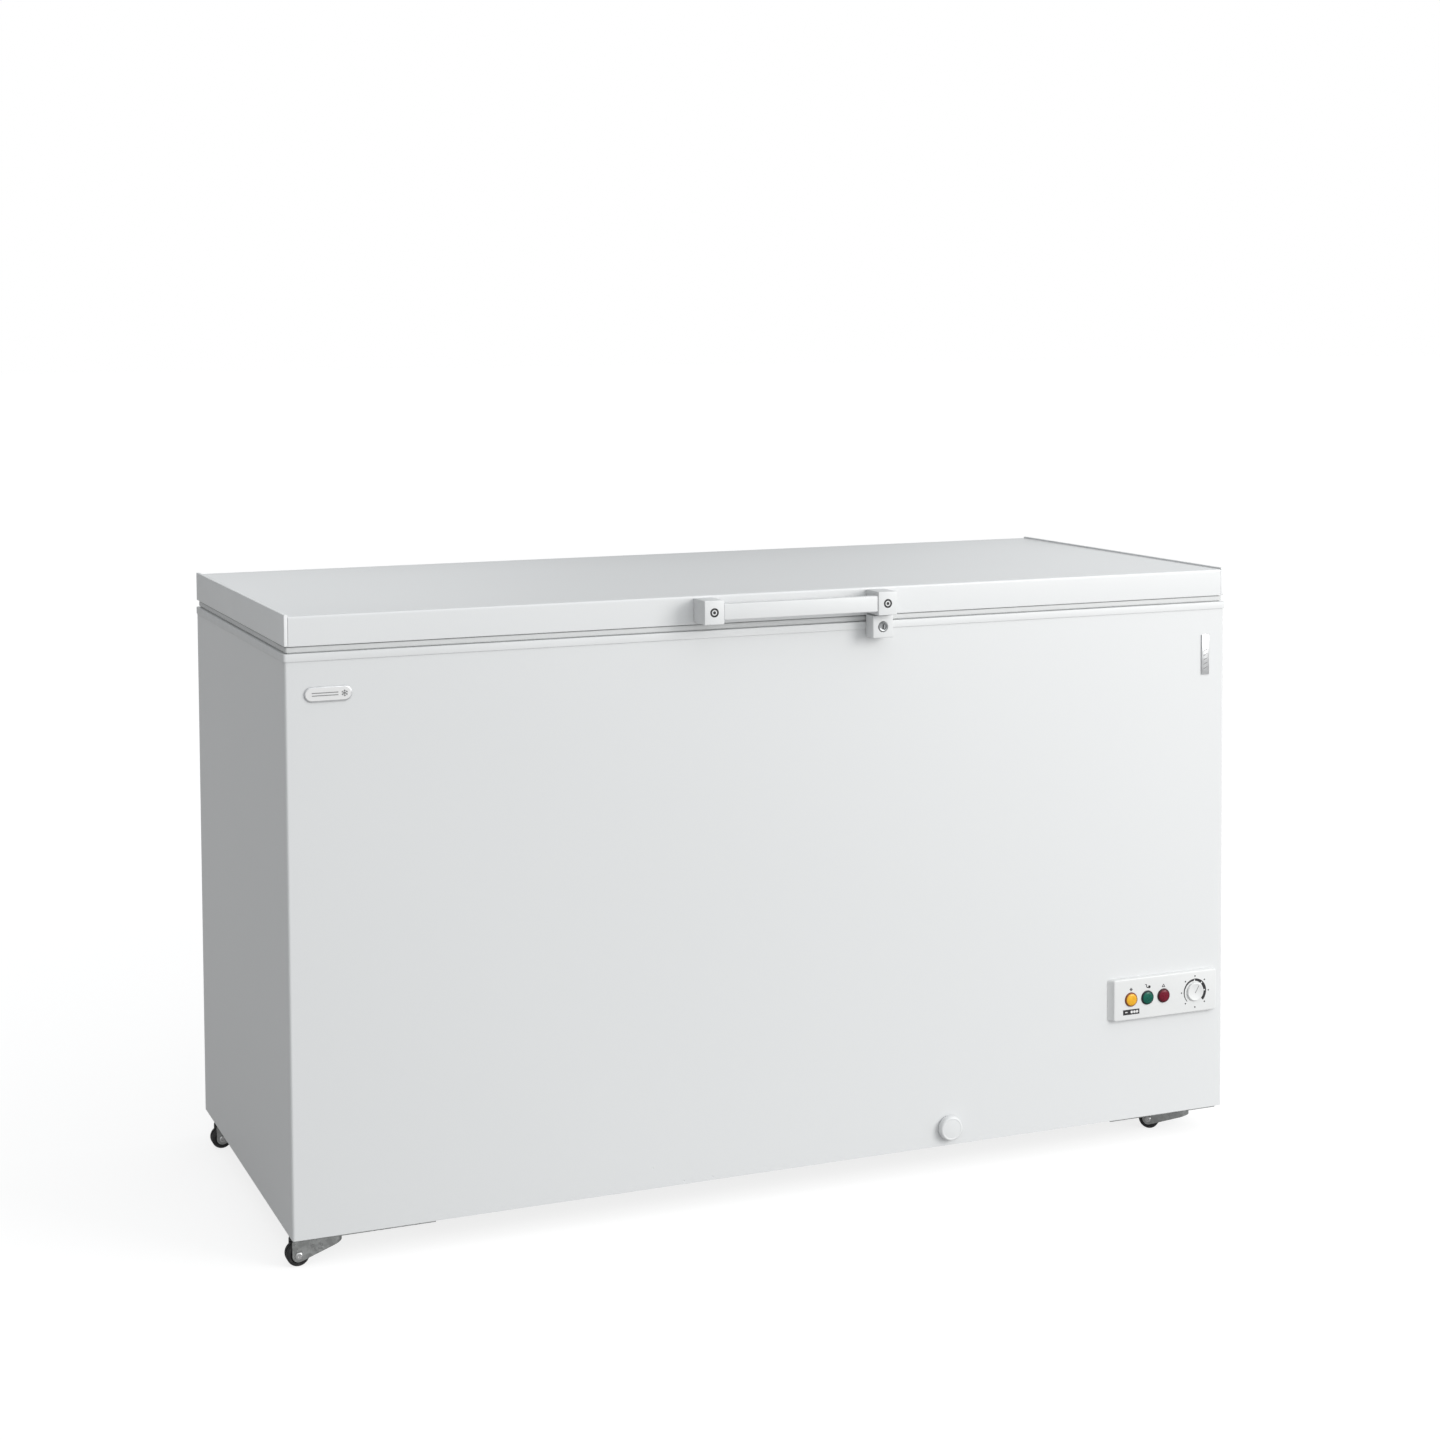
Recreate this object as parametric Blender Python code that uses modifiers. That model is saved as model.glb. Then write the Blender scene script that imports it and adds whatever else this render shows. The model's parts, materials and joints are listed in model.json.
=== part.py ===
"""Chest freezer on four swivel casters, with a hinged insulated lid.

Run with: blender --background --python part.py
Metres, +Z up, the front faces -Y. The origin is on the floor, under the middle of the whole outline.
"""
import math

import bmesh
import bpy
from mathutils import Matrix, Vector

# ---------------------------------------------------------------- driving dimensions
GAP = 0.0003                # between two pieces that touch
THROUGH = 0.010             # how far a cutter reaches beyond the wall it cuts

CABINET_W = 1.400
CABINET_D = 0.585
CABINET_H = 0.755           # underside of the cabinet to the top of its collar
CASTER_H = 0.038            # floor to the underside of the cabinet
SKIN = 0.001                # painted sheet steel
SKIN_BEND = 0.003           # outer radius of the wrap's vertical bends
WALL = 0.062                # outside of the cabinet to the inside of the liner
FLOOR_WALL = 0.070          # the same through the floor
COIL_SPACE = 0.008          # room for a refrigerant coil beside the foam
FOAM_DROP = 0.001           # foam below the rims of the sheets round it
BASE_T = 0.0015

COLLAR_PROUD = 0.0015       # collar skirt beyond the wrap
COLLAR_SKIRT = 0.010
COLLAR_T = 0.002

SEAL_GAP = 0.0095           # collar to the underside of the lid
LID_H = 0.0385
LID_REAR = 0.004            # lid overhang behind the cabinet
LID_BEND = 0.002
CAP_T = 0.005               # plastic end cap of the lid
CAP_LIP = 0.002             # end cap above the lid's top
CAP_TONGUE = 0.008
PANEL_T = 0.0015            # plastic inner panel of the lid
PANEL_DROP = 0.012          # how far the panel bulges into the opening
PANEL_CLEAR = 0.012         # the bulge to the collar's inner lip
PANEL_TAPER = 0.006         # draft of the bulge's sides
GASKET_INSET = 0.002
GASKET_W = 0.016

MACHINE_W = 0.262           # compressor room, measured inside the cabinet's right end
MACHINE_H = 0.235           # above the base pan
STEP_WALL = 0.055           # foam over and beside the compressor room

HANDLE_L = 0.286
HANDLE_REACH = 0.040        # front of the handle to the front of the lid
HANDLE_BLOCK_W = 0.0285
HANDLE_BLOCK_H = 0.0325
HANDLE_BAR_H = 0.022
HANDLE_BAR_T = 0.010
HANDLE_BAR_SET = 0.001      # bar behind the front of the blocks
HANDLE_LIFT = 0.0030        # underside of a block above the underside of the lid
MOULDED_EDGE = 0.0015       # rounding of moulded plastic pieces

LOCK_SIZE = 0.031
LOCK_REACH = 0.025
LOCK_CLEAR = 0.0020         # lock to the handle block above it
LOCK_BARREL_R = 0.0072
LOCK_BARREL_L = 0.014
LOCK_BARREL_PROUD = 0.0010
LOCK_BOLT_W = 0.010
LOCK_BOLT_T = 0.003
LOCK_THROW = 0.008
BOLT_CLEAR = 0.001          # bolt to the slot it rises into
LOCK_FLOOR = 0.003          # housing wall under the bolt
KEYWAY_W = 0.0018
KEYWAY_H = 0.007
KEYWAY_DEPTH = 0.006

BEZEL_W = 0.182
BEZEL_H = 0.0615
BEZEL_T = 0.008
BEZEL_CHAMFER = 0.003
BEZEL_RIGHT = 0.015         # right end of the bezel to the cabinet's right side
BEZEL_Z = 0.179             # middle of the bezel above the underside of the cabinet
BEZEL_LAP = 0.008           # bezel over the edges of the window behind it
LAMP_R = 0.0102
LAMP_PITCH = 0.0276
LAMP_FIRST = 0.0355         # left end of the bezel to the first lens
LAMP_PROUD = 0.003
LAMP_TAIL = 0.004           # lamp behind the cabinet's front sheet
KNOB_R = 0.0145
KNOB_PROUD = 0.004
KNOB_RIGHT = 0.037          # knob to the right end of the bezel
KNOB_REST_DEG = 30.0        # pointer at rest, clockwise from upright
KNOB_CLEAR = 0.0005
POINTER_W = 0.002
POINTER_PROUD = 0.0008
POINTER_INSET = 0.004       # its tip to the knob's edge
SHAFT_R = 0.003
THERMOSTAT_W = 0.036
THERMOSTAT_H = 0.032
THERMOSTAT_SET = 0.004      # its front behind the cabinet's front
THERMOSTAT_D = 0.036
RUN_FIT = 0.0004            # radial clearance of what turns or slides

DRAIN_X = 0.943             # drain from the cabinet's left side
DRAIN_Z = 0.026             # drain outlet above the underside of the cabinet
DRAIN_BORE = 0.009
DRAIN_TUBE_T = 0.0015
DRAIN_BEND = 0.018
DRAIN_TIP = 0.0015          # tube beyond the front sheet
DRAIN_FOAM_FIT = 0.0015
DRAIN_CAP_R = 0.0175
DRAIN_CAP_PROUD = 0.009
DRAIN_INLET_Y = 0.125       # inlet in the liner's floor, behind the front of the cabinet
DRAIN_PLUG_FLANGE = 0.016
DRAIN_PLUG_PROUD = 0.006
STOPPER_L = 0.012           # cap's and plug's stems inside the tube
STOPPER_DRAFT = 0.001
STOPPER_FIT = 0.0019        # stem to bore at its wide end
STOPPER_EDGE = 0.002

BADGE_X = 0.0556            # middle of the badge from the cabinet's left side
BADGE_DROP = 0.053          # middle of the badge below the top of the cabinet
BADGE_W = 0.062
BADGE_H = 0.0195
EMBLEM_RIGHT = 0.0322       # middle of the emblem from the cabinet's right side
EMBLEM_DROP = 0.0768
EMBLEM_W = 0.0128
EMBLEM_H = 0.059
PLATE_T = 0.0016            # badge and emblem

HINGE_X = 0.430             # hinge from the middle of the cabinet
HINGE_OFFSET = 0.018        # axis behind the cabinet
HINGE_DROP = 0.010          # axis below the top of the collar
HINGE_LUG_R = 0.012
HINGE_W = 0.060
HINGE_PLATE_T = 0.003
HINGE_PLATE_H = 0.100
HINGE_LUG_T = 0.008
HINGE_PIN_R = 0.004
HINGE_KNUCKLE = 0.018       # length of the arm's knuckle
HINGE_ARM_TOP = 0.008       # arm below the top of the lid
HINGE_ARM_LOW = 0.006       # its flange above the underside of the lid
HINGE_ARM_WEB = 0.008
KNUCKLE_CLEAR = 0.0015
PIN_PROUD = 0.0005
SPRING_WIRE_R = 0.0010
SPRING_R = 0.0072
SPRING_TURNS = 5
SPRING_STEPS = 10           # straight pieces to a turn
SPRING_CLEAR = 0.001        # its ends to the knuckle and the lug

RAIL_INSET = 0.010
RAIL_W = 0.180
RAIL_T = 0.002
RAIL_SETBACK = 0.002        # rail to the front and rear of the cabinet
CASTER_SIDE = 0.057         # swivel axis from the cabinet's side
CASTER_FRONT = 0.021        # swivel axis from the cabinet's front
CASTER_REAR = 0.066         # and from its rear
TRAIL = 0.047               # swivel axis to wheel axle
WHEEL_R = 0.015
WHEEL_W = 0.018
WHEEL_GROOVE = 0.004
WHEEL_HUB_R = 0.009
WHEEL_EDGE = 0.0015
WHEEL_SIDES = 20
AXLE_R = 0.0028
AXLE_HEAD_R = 0.0052
AXLE_HEAD_T = 0.002
FORK_T = 0.0015
FORK_SIDE = 0.001           # wheel to the fork's cheek
FORK_NOSE = 0.0085          # cheek around the axle
FORK_HEAD_H = 0.008         # cheek height at the swivel
CROWN_MOUTH = 0.9           # crown's opening over the wheel, in wheel radii before the axle
STUD_R = 0.004
STUD_HEAD_R = 0.0068
STUD_HEAD_T = 0.002
# Where each caster trails at rest, in degrees from +X.
CASTERS = {
    "front_left": (-1, -1, 180.0),
    "front_right": (1, -1, 133.0),
    "rear_left": (-1, 1, 180.0),
    "rear_right": (1, 1, 0.0),
}

TUBE_R = 0.0025
COIL_PASSES = 4
COIL_BEND = 0.006
COIL_LEAD = 0.030           # between a coil's two leads
COIL_LEAD_REAR = 0.015      # rear lead to the rear of the liner
LEAD_FIT = 0.0015           # clearance round a lead
SUCTION_Z = 0.150           # leads at the compressor, above the base
DISCHARGE_Z = 0.110
EVAPORATOR_LOW = 0.060      # lowest pass above the step
EVAPORATOR_TOP = 0.060      # highest pass below the rim
CONDENSER_LOW = 0.030
CONDENSER_TOP = 0.090
COMPRESSOR_R = 0.070
COMPRESSOR_H = 0.150
COMPRESSOR_REAR = 0.195     # compressor's axis from the cabinet's rear
COMPRESSOR_LEFT = 0.010     # its axis left of the middle of the compressor room
COMPRESSOR_DOME = 0.035
COMPRESSOR_PLATE_T = 0.003
COMPRESSOR_CLEAR = 0.0015   # shell to what sits beside it
PAD_T = 0.012
PAD_EDGE = 0.010            # mounting pad beyond the shell
PAD_D = 0.7                 # depth of the pad as a share of its width
RELAY_SIZE = (0.050, 0.028, 0.055)
RELAY_Z = 0.045             # above the compressor's foot
RELAY_EDGE = 0.003
DRIER_R = 0.0095
DRIER_L = 0.070
DRIER_NECK_R = 0.0035
DRIER_CONE = 0.012
DRIER_SIDE = 0.026          # capsule to the cabinet's right side
DRIER_Z = 0.095
GRILLE_T = 0.0025
GRILLE_SLOTS = 7
GRILLE_EDGE = 0.014
GRILLE_LEFT = 0.035         # vent window to the compressor room's walls
GRILLE_RIGHT = 0.050
GRILLE_LOW = 0.060
GRILLE_TOP = 0.040
GLAND_R = 0.009
GLAND_BORE = 0.0040
GLAND_REACH = 0.014
GLAND_NECK = 0.72           # neck in the panel as a share of the gland's radius
GLAND_FLANGE_T = 0.003
GLAND_TAIL = 0.006
GLAND_X = 0.030             # from the compressor room's left wall
GLAND_Z = 0.028

ROUND = 24                  # sides of a turned piece
ROUND_SMALL = 12

# ---------------------------------------------------------------- places worked out from them
X0 = -CABINET_W / 2
X1 = CABINET_W / 2
HINGE_REACH = HINGE_OFFSET + HINGE_LUG_R
Y0 = (HANDLE_REACH - HINGE_REACH - CABINET_D) / 2
Y1 = Y0 + CABINET_D
Z0 = CASTER_H
Z1 = Z0 + CABINET_H
LID_Z0 = Z1 + SEAL_GAP
LID_Z1 = LID_Z0 + LID_H
LID_Y1 = Y1 + LID_REAR
HINGE_AXIS = Vector((0.0, Y1 + HINGE_OFFSET, Z1 - HINGE_DROP))

LINER_X0 = X0 + WALL
LINER_X1 = X1 - WALL
LINER_Y0 = Y0 + WALL
LINER_Y1 = Y1 - WALL
LINER_Z0 = Z0 + FLOOR_WALL
RIM_Z = Z1 - COLLAR_T - GAP     # top edges of the wrap, back panel and liner
MACHINE_X = X1 - SKIN - MACHINE_W
MACHINE_Z = Z0 + BASE_T + MACHINE_H
STEP_X = MACHINE_X - STEP_WALL
STEP_Z = MACHINE_Z + STEP_WALL


# ---------------------------------------------------------------- scene helpers
def clear_scene():
    for thing in list(bpy.data.objects):
        bpy.data.objects.remove(thing, do_unlink=True)


def make_collection(name):
    collection = bpy.data.collections.new(name)
    bpy.context.scene.collection.children.link(collection)
    return collection


clear_scene()
PARTS = make_collection("chest_freezer")
CUTTERS = make_collection("cutters")


def material(name, colour, roughness, metallic=0.0):
    made = bpy.data.materials.new(name)
    made.use_nodes = True
    shader = made.node_tree.nodes["Principled BSDF"]
    shader.inputs["Base Color"].default_value = (*colour, 1.0)
    shader.inputs["Roughness"].default_value = roughness
    shader.inputs["Metallic"].default_value = metallic
    return made


WHITE_STEEL = material("white_painted_steel", (0.78, 0.79, 0.80), 0.35)
WHITE_PLASTIC = material("white_plastic", (0.80, 0.80, 0.80), 0.45)
LINER_FINISH = material("white_liner", (0.82, 0.83, 0.84), 0.40)
GASKET_RUBBER = material("grey_gasket", (0.55, 0.56, 0.56), 0.60)
FOAM = material("insulation_foam", (0.85, 0.72, 0.42), 0.90)
ZINC = material("zinc_plated_steel", (0.60, 0.61, 0.60), 0.40, 1.0)
CHROME = material("polished_lock_metal", (0.55, 0.56, 0.58), 0.20, 1.0)
BLACK_ENAMEL = material("black_enamel", (0.02, 0.02, 0.02), 0.35)
BLACK_RUBBER = material("black_rubber", (0.02, 0.02, 0.02), 0.70)
BLACK_PLASTIC = material("black_plastic", (0.03, 0.03, 0.03), 0.50)
COPPER = material("copper_tube", (0.72, 0.43, 0.30), 0.30, 1.0)
YELLOW_LENS = material("yellow_lens", (0.90, 0.60, 0.05), 0.25)
GREEN_LENS = material("green_lens", (0.05, 0.50, 0.12), 0.25)
RED_LENS = material("red_lens", (0.75, 0.04, 0.03), 0.25)
SILVER_PLASTIC = material("silver_plastic", (0.70, 0.71, 0.73), 0.30, 0.6)


# ---------------------------------------------------------------- shape helpers
def new_object(name, bm, finish, origin=(0.0, 0.0, 0.0)):
    """A part whose mesh is given in world places and whose origin is put at origin."""
    bmesh.ops.recalc_face_normals(bm, faces=bm.faces)
    mesh = bpy.data.meshes.new(name)
    bm.to_mesh(mesh)
    bm.free()
    mesh.transform(Matrix.Translation(-Vector(origin)))
    made = bpy.data.objects.new(name, mesh)
    made.location = origin
    if finish is None:
        CUTTERS.objects.link(made)
        made.hide_render = True
        made.display_type = "WIRE"
    else:
        PARTS.objects.link(made)
        mesh.materials.append(finish)
    return made


def add_box(bm, low, high):
    size = [high[i] - low[i] for i in range(3)]
    middle = [(high[i] + low[i]) / 2 for i in range(3)]
    place = Matrix.Translation(middle) @ Matrix.Diagonal((*size, 1.0))
    bmesh.ops.create_cube(bm, size=1.0, matrix=place)


def box(name, low, high, finish, origin=(0.0, 0.0, 0.0)):
    bm = bmesh.new()
    add_box(bm, low, high)
    return new_object(name, bm, finish, origin)


def boxes(name, pairs, finish):
    bm = bmesh.new()
    for low, high in pairs:
        add_box(bm, low, high)
    return new_object(name, bm, finish)


def aimed(start, axis):
    """The placing that puts a local +Z shape at start, along axis."""
    turn = Vector((0.0, 0.0, 1.0)).rotation_difference(Vector(axis)).to_matrix().to_4x4()
    return Matrix.Translation(start) @ turn


def cylinder(name, radius, length, start, axis, finish, sides=ROUND):
    bm = bmesh.new()
    place = aimed(start, axis) @ Matrix.Translation((0.0, 0.0, length / 2))
    bmesh.ops.create_cone(bm, cap_ends=True, segments=sides, radius1=radius, radius2=radius,
                          depth=length, matrix=place)
    return new_object(name, bm, finish)


def rect_ring(name, outer, inner, low, high, finish):
    """A flat rectangular frame: outer and inner are (x_lo, x_hi, y_lo, y_hi)."""
    bm = bmesh.new()
    edges = []
    for x_lo, x_hi, y_lo, y_hi in (outer, inner):
        corners = ((x_lo, y_lo), (x_hi, y_lo), (x_hi, y_hi), (x_lo, y_hi))
        ring = [bm.verts.new((x, y, low)) for x, y in corners]
        edges += [bm.edges.new((ring[i], ring[(i + 1) % 4])) for i in range(4)]
    faces = bmesh.ops.bridge_loops(bm, edges=edges)["faces"]
    grown = bmesh.ops.extrude_face_region(bm, geom=faces)["geom"]
    top = [item for item in grown if isinstance(item, bmesh.types.BMVert)]
    bmesh.ops.translate(bm, verts=top, vec=(0.0, 0.0, high - low))
    return new_object(name, bm, finish)


def to_mesh_object(curve_object, finish, origin=(0.0, 0.0, 0.0)):
    """Turn a curve object into a welded mesh object of the same name."""
    bpy.context.view_layer.update()
    graph = bpy.context.evaluated_depsgraph_get()
    mesh = bpy.data.meshes.new_from_object(curve_object.evaluated_get(graph))
    bm = bmesh.new()
    bm.from_mesh(mesh)
    bm.transform(curve_object.matrix_world)
    bmesh.ops.remove_doubles(bm, verts=bm.verts, dist=0.00001)
    name = curve_object.name
    bpy.data.objects.remove(curve_object, do_unlink=True)
    bpy.data.meshes.remove(mesh)
    return new_object(name, bm, finish, origin)


def outline(name, points, thickness, place, finish, origin=(0.0, 0.0, 0.0)):
    """A flat closed outline, thick along its local Z and centred on it."""
    curve = bpy.data.curves.new(name, "CURVE")
    curve.dimensions = "2D"
    curve.fill_mode = "BOTH"
    curve.extrude = thickness / 2
    spline = curve.splines.new("POLY")
    spline.points.add(len(points) - 1)
    spline.use_cyclic_u = True
    for point, (x, y) in zip(spline.points, points):
        point.co = (x, y, 0.0, 1.0)
    made = bpy.data.objects.new(name, curve)
    made.matrix_world = place
    CUTTERS.objects.link(made)
    return to_mesh_object(made, finish, origin)


def upright(y):
    """Places an XY outline as an XZ one, with its thickness along Y about the given y."""
    return Matrix.Translation((0.0, y, 0.0)) @ Matrix.Rotation(math.radians(90), 4, "X")


def turned(name, profile, start, axis, finish, steps=ROUND, closed=False):
    """A turned piece: profile runs down its outer side as (radius, height) along axis."""
    mesh = bpy.data.meshes.new(name)
    bm = bmesh.new()
    verts = [bm.verts.new((radius, 0.0, height)) for radius, height in profile]
    links = list(zip(verts, verts[1:]))
    if closed:
        links.append((verts[-1], verts[0]))
    for first, second in links:
        bm.edges.new((first, second))
    bm.to_mesh(mesh)
    bm.free()
    made = bpy.data.objects.new(name, mesh)
    made.matrix_world = aimed(start, axis)
    (CUTTERS if finish is None else PARTS).objects.link(made)
    screw = made.modifiers.new("turn", "SCREW")
    screw.axis = "Z"
    screw.angle = math.radians(360)
    screw.steps = steps
    screw.render_steps = steps
    screw.use_merge_vertices = True
    screw.merge_threshold = 0.00001
    screw.use_smooth_shade = True
    if finish is None:
        made.hide_render = True
        made.display_type = "WIRE"
    else:
        mesh.materials.append(finish)
    return made


def rounded_route(points, radius, steps=2):
    """The same route with each of its corners bent to an arc."""
    route = [Vector(points[0])]
    for before, corner, after in zip(points, points[1:], points[2:]):
        corner = Vector(corner)
        back = (Vector(before) - corner).normalized()
        ahead = (Vector(after) - corner).normalized()
        half = back.angle(ahead) / 2
        reach = min(radius / math.tan(half), (Vector(before) - corner).length * 0.45)
        bend = reach * math.tan(half)
        centre = corner + (back + ahead).normalized() * (bend / math.sin(half))
        first = corner + back * reach - centre
        last = corner + ahead * reach - centre
        sweep = first.angle(last)
        for step in range(steps + 1):
            share = step / steps
            first_part = math.sin((1 - share) * sweep) / math.sin(sweep)
            last_part = math.sin(share * sweep) / math.sin(sweep)
            route.append(centre + first * first_part + last * last_part)
    route.append(Vector(points[-1]))
    return route


def tube(name, route, radius, finish, resolution=2):
    curve = bpy.data.curves.new(name, "CURVE")
    curve.dimensions = "3D"
    curve.bevel_depth = radius
    curve.bevel_resolution = resolution
    curve.use_fill_caps = True
    spline = curve.splines.new("POLY")
    spline.points.add(len(route) - 1)
    for point, place in zip(spline.points, route):
        point.co = (*place, 1.0)
    made = bpy.data.objects.new(name, curve)
    PARTS.objects.link(made)
    curve.materials.append(finish)
    return made


def boolean(target, other, operation):
    step = target.modifiers.new(other.name, "BOOLEAN")
    step.operation = operation
    step.object = other
    step.solver = "EXACT"


def cut(target, *cutters):
    for cutter in cutters:
        boolean(target, cutter, "DIFFERENCE")


def join(target, *others):
    for other in others:
        boolean(target, other, "UNION")


def bevel(target, width, segments=1, angle=30):
    step = target.modifiers.new("edges", "BEVEL")
    step.width = width
    step.segments = segments
    step.limit_method = "ANGLE"
    step.angle_limit = math.radians(angle)


def solidify(target, thickness, offset):
    step = target.modifiers.new("sheet", "SOLIDIFY")
    step.thickness = thickness
    step.offset = offset
    step.use_even_offset = True


def smooth(target, angle=40):
    target.data.shade_smooth()
    target.data.set_sharp_from_angle(angle=math.radians(angle))


def empty(name, place, turn_deg=0.0):
    made = bpy.data.objects.new(name, None)
    made.location = place
    made.rotation_euler = (0.0, 0.0, math.radians(turn_deg))
    made.empty_display_size = 0.03
    PARTS.objects.link(made)
    return made


def hang_on(parent, *children):
    """Parent each child and leave it where it is."""
    bpy.context.view_layer.update()
    for child in children:
        child.parent = parent
        child.matrix_parent_inverse = parent.matrix_world.inverted()


def arc(centre, radius, start_deg, end_deg, steps):
    points = []
    for step in range(steps + 1):
        angle = math.radians(start_deg + (end_deg - start_deg) * step / steps)
        points.append((centre[0] + radius * math.cos(angle), centre[1] + radius * math.sin(angle)))
    return points


# ---------------------------------------------------------------- cabinet
def open_box(name, low, high, missing, finish):
    """The skin of a box without the sides named in missing, such as "z+"."""
    bm = bmesh.new()
    add_box(bm, low, high)
    bmesh.ops.recalc_face_normals(bm, faces=bm.faces)
    doomed = []
    for face in bm.faces:
        for side in missing:
            axis = "xyz".index(side[0])
            sign = 1.0 if side[1] == "+" else -1.0
            if face.normal[axis] * sign > 0.9:
                doomed.append(face)
    bmesh.ops.delete(bm, geom=doomed, context="FACES")
    mesh = bpy.data.meshes.new(name)
    bm.to_mesh(mesh)
    bm.free()
    made = bpy.data.objects.new(name, mesh)
    PARTS.objects.link(made)
    mesh.materials.append(finish)
    return made


def bezel_centre():
    return Vector((X1 - BEZEL_RIGHT - BEZEL_W / 2, Y0, Z0 + BEZEL_Z))


def lamp_x(index):
    return X1 - BEZEL_RIGHT - BEZEL_W + LAMP_FIRST + LAMP_PITCH * index


def knob_x():
    return X1 - BEZEL_RIGHT - KNOB_RIGHT


def drain_outlet():
    return Vector((X0 + DRAIN_X, Y0, Z0 + DRAIN_Z))


def make_wrap():
    """Front and both sides, folded from one sheet."""
    wrap = open_box("cabinet_wrap", (X0, Y0, Z0), (X1, Y1, RIM_Z), ("z+", "z-", "y+"), WHITE_STEEL)
    bevel(wrap, SKIN_BEND, 2)
    solidify(wrap, SKIN, -1.0)
    smooth(wrap)
    centre = bezel_centre()
    window = (BEZEL_W / 2 - BEZEL_LAP, THROUGH, BEZEL_H / 2 - BEZEL_LAP)
    cut(wrap,
        box("panel_window", centre - Vector(window), centre + Vector(window), None),
        cylinder("drain_window", DRAIN_BORE + DRAIN_TUBE_T + GAP, 2 * THROUGH,
                 drain_outlet() - Vector((0.0, THROUGH, 0.0)), (0, 1, 0), None))


def grille_window():
    """The vent in the back panel: (x_lo, x_hi, z_lo, z_hi)."""
    return (MACHINE_X + GRILLE_LEFT, X1 - GRILLE_RIGHT, Z0 + GRILLE_LOW, Z0 + MACHINE_H - GRILLE_TOP)


def gland_place():
    return Vector((MACHINE_X + GLAND_X, Y1, Z0 + GLAND_Z))


def make_back_panel():
    inset = SKIN + GAP
    panel = box("back_panel", (X0 + inset, Y1 - SKIN, Z0), (X1 - inset, Y1, RIM_Z), WHITE_STEEL)
    x_lo, x_hi, z_lo, z_hi = grille_window()
    cut(panel,
        box("vent_window", (x_lo, Y1 - THROUGH, z_lo), (x_hi, Y1 + THROUGH, z_hi), None),
        cylinder("gland_window", GLAND_R * GLAND_NECK + GAP, 2 * THROUGH,
                 gland_place() - Vector((0.0, THROUGH, 0.0)), (0, 1, 0), None, ROUND_SMALL))


def chamfer_uprights(target, width):
    """Cut back the four standing edges of a box."""
    bm = bmesh.new()
    bm.from_mesh(target.data)
    standing = [edge for edge in bm.edges if abs(edge.verts[0].co.z - edge.verts[1].co.z) > 1e-6]
    bmesh.ops.bevel(bm, geom=standing, offset=width, offset_type="OFFSET", segments=1, affect="EDGES")
    bm.to_mesh(target.data)
    bm.free()


def make_base_pan():
    inset = SKIN + GAP
    pan = box("base_pan", (X0 + inset, Y0 + inset, Z0), (X1 - inset, Y1 - inset, Z0 + BASE_T), ZINC)
    chamfer_uprights(pan, SKIN_BEND)


def stepped_points(grow, top):
    """The liner's long section in XZ: a box with a step over the compressor room."""
    return [
        (LINER_X0 - grow, top),
        (LINER_X0 - grow, LINER_Z0 - grow),
        (STEP_X + grow, LINER_Z0 - grow),
        (STEP_X + grow, STEP_Z - grow),
        (LINER_X1 + grow, STEP_Z - grow),
        (LINER_X1 + grow, top),
    ]


def stepped_block(name, grow, top, finish):
    depth = LINER_Y1 - LINER_Y0 + 2 * grow
    return outline(name, stepped_points(grow, top), depth, upright((LINER_Y0 + LINER_Y1) / 2), finish)


def drain_inlet():
    return Vector((X0 + DRAIN_X, Y0 + DRAIN_INLET_Y, LINER_Z0))


def make_liner():
    liner = stepped_block("inner_liner", SKIN, RIM_Z, LINER_FINISH)
    hollow = stepped_block("liner_hollow", 0.0, RIM_Z + THROUGH, None)
    hole = cylinder("liner_drain_hole", DRAIN_BORE + DRAIN_TUBE_T + GAP, 2 * THROUGH,
                    drain_inlet() - Vector((0.0, 0.0, THROUGH)), (0, 0, 1), None)
    cut(liner, hollow, hole)


def coil_side(place_x):
    """The two places of a coil's leads, which come down on the right side."""
    return [Vector((place_x, y, 0.0)) for y in coil_lead_ys()]


def coil_lead_ys():
    lead = LINER_Y1 - COIL_LEAD - COIL_LEAD_REAR
    return (lead, lead + COIL_LEAD)


def make_foam():
    inset = SKIN + COIL_SPACE
    foam = box("insulation_foam", (X0 + inset, Y0 + inset, Z0 + BASE_T + GAP),
               (X1 - inset, Y1 - inset, RIM_Z - FOAM_DROP), FOAM)
    hollow = stepped_block("foam_hollow", inset, RIM_Z + THROUGH, None)
    room = box("foam_room", (MACHINE_X - SKIN - GAP, Y0 - THROUGH, Z0 - THROUGH),
               (X1 + THROUGH, Y1 + THROUGH, MACHINE_Z + SKIN + GAP), None)
    cut(foam, hollow, room)
    for number, place in enumerate(coil_side(LINER_X1 + SKIN + COIL_SPACE / 2)):
        start = place + Vector((0.0, 0.0, MACHINE_Z - THROUGH))
        cut(foam, cylinder(f"foam_lead_{number}", TUBE_R + LEAD_FIT, STEP_WALL + 2 * THROUGH, start,
                           (0, 0, 1), None, ROUND_SMALL))
    cut(foam, drain_channel())


def drain_route(extra=0.0):
    """Down from the liner's floor and out to the front of the cabinet."""
    outlet = drain_outlet()
    inlet = drain_inlet()
    return [
        (inlet.x, inlet.y, inlet.z + extra),
        (inlet.x, inlet.y, outlet.z),
        (outlet.x, outlet.y - extra, outlet.z),
    ]


def tube_mesh(name, route, radius, finish):
    """A tube as a welded mesh, for pieces that are cut or that cut others."""
    return to_mesh_object(tube(name, route, radius, WHITE_PLASTIC), finish)


def drain_channel():
    route = rounded_route(drain_route(2 * THROUGH), DRAIN_BEND, 3)
    return tube_mesh("drain_channel", route, DRAIN_BORE + DRAIN_TUBE_T + DRAIN_FOAM_FIT, None)


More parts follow.
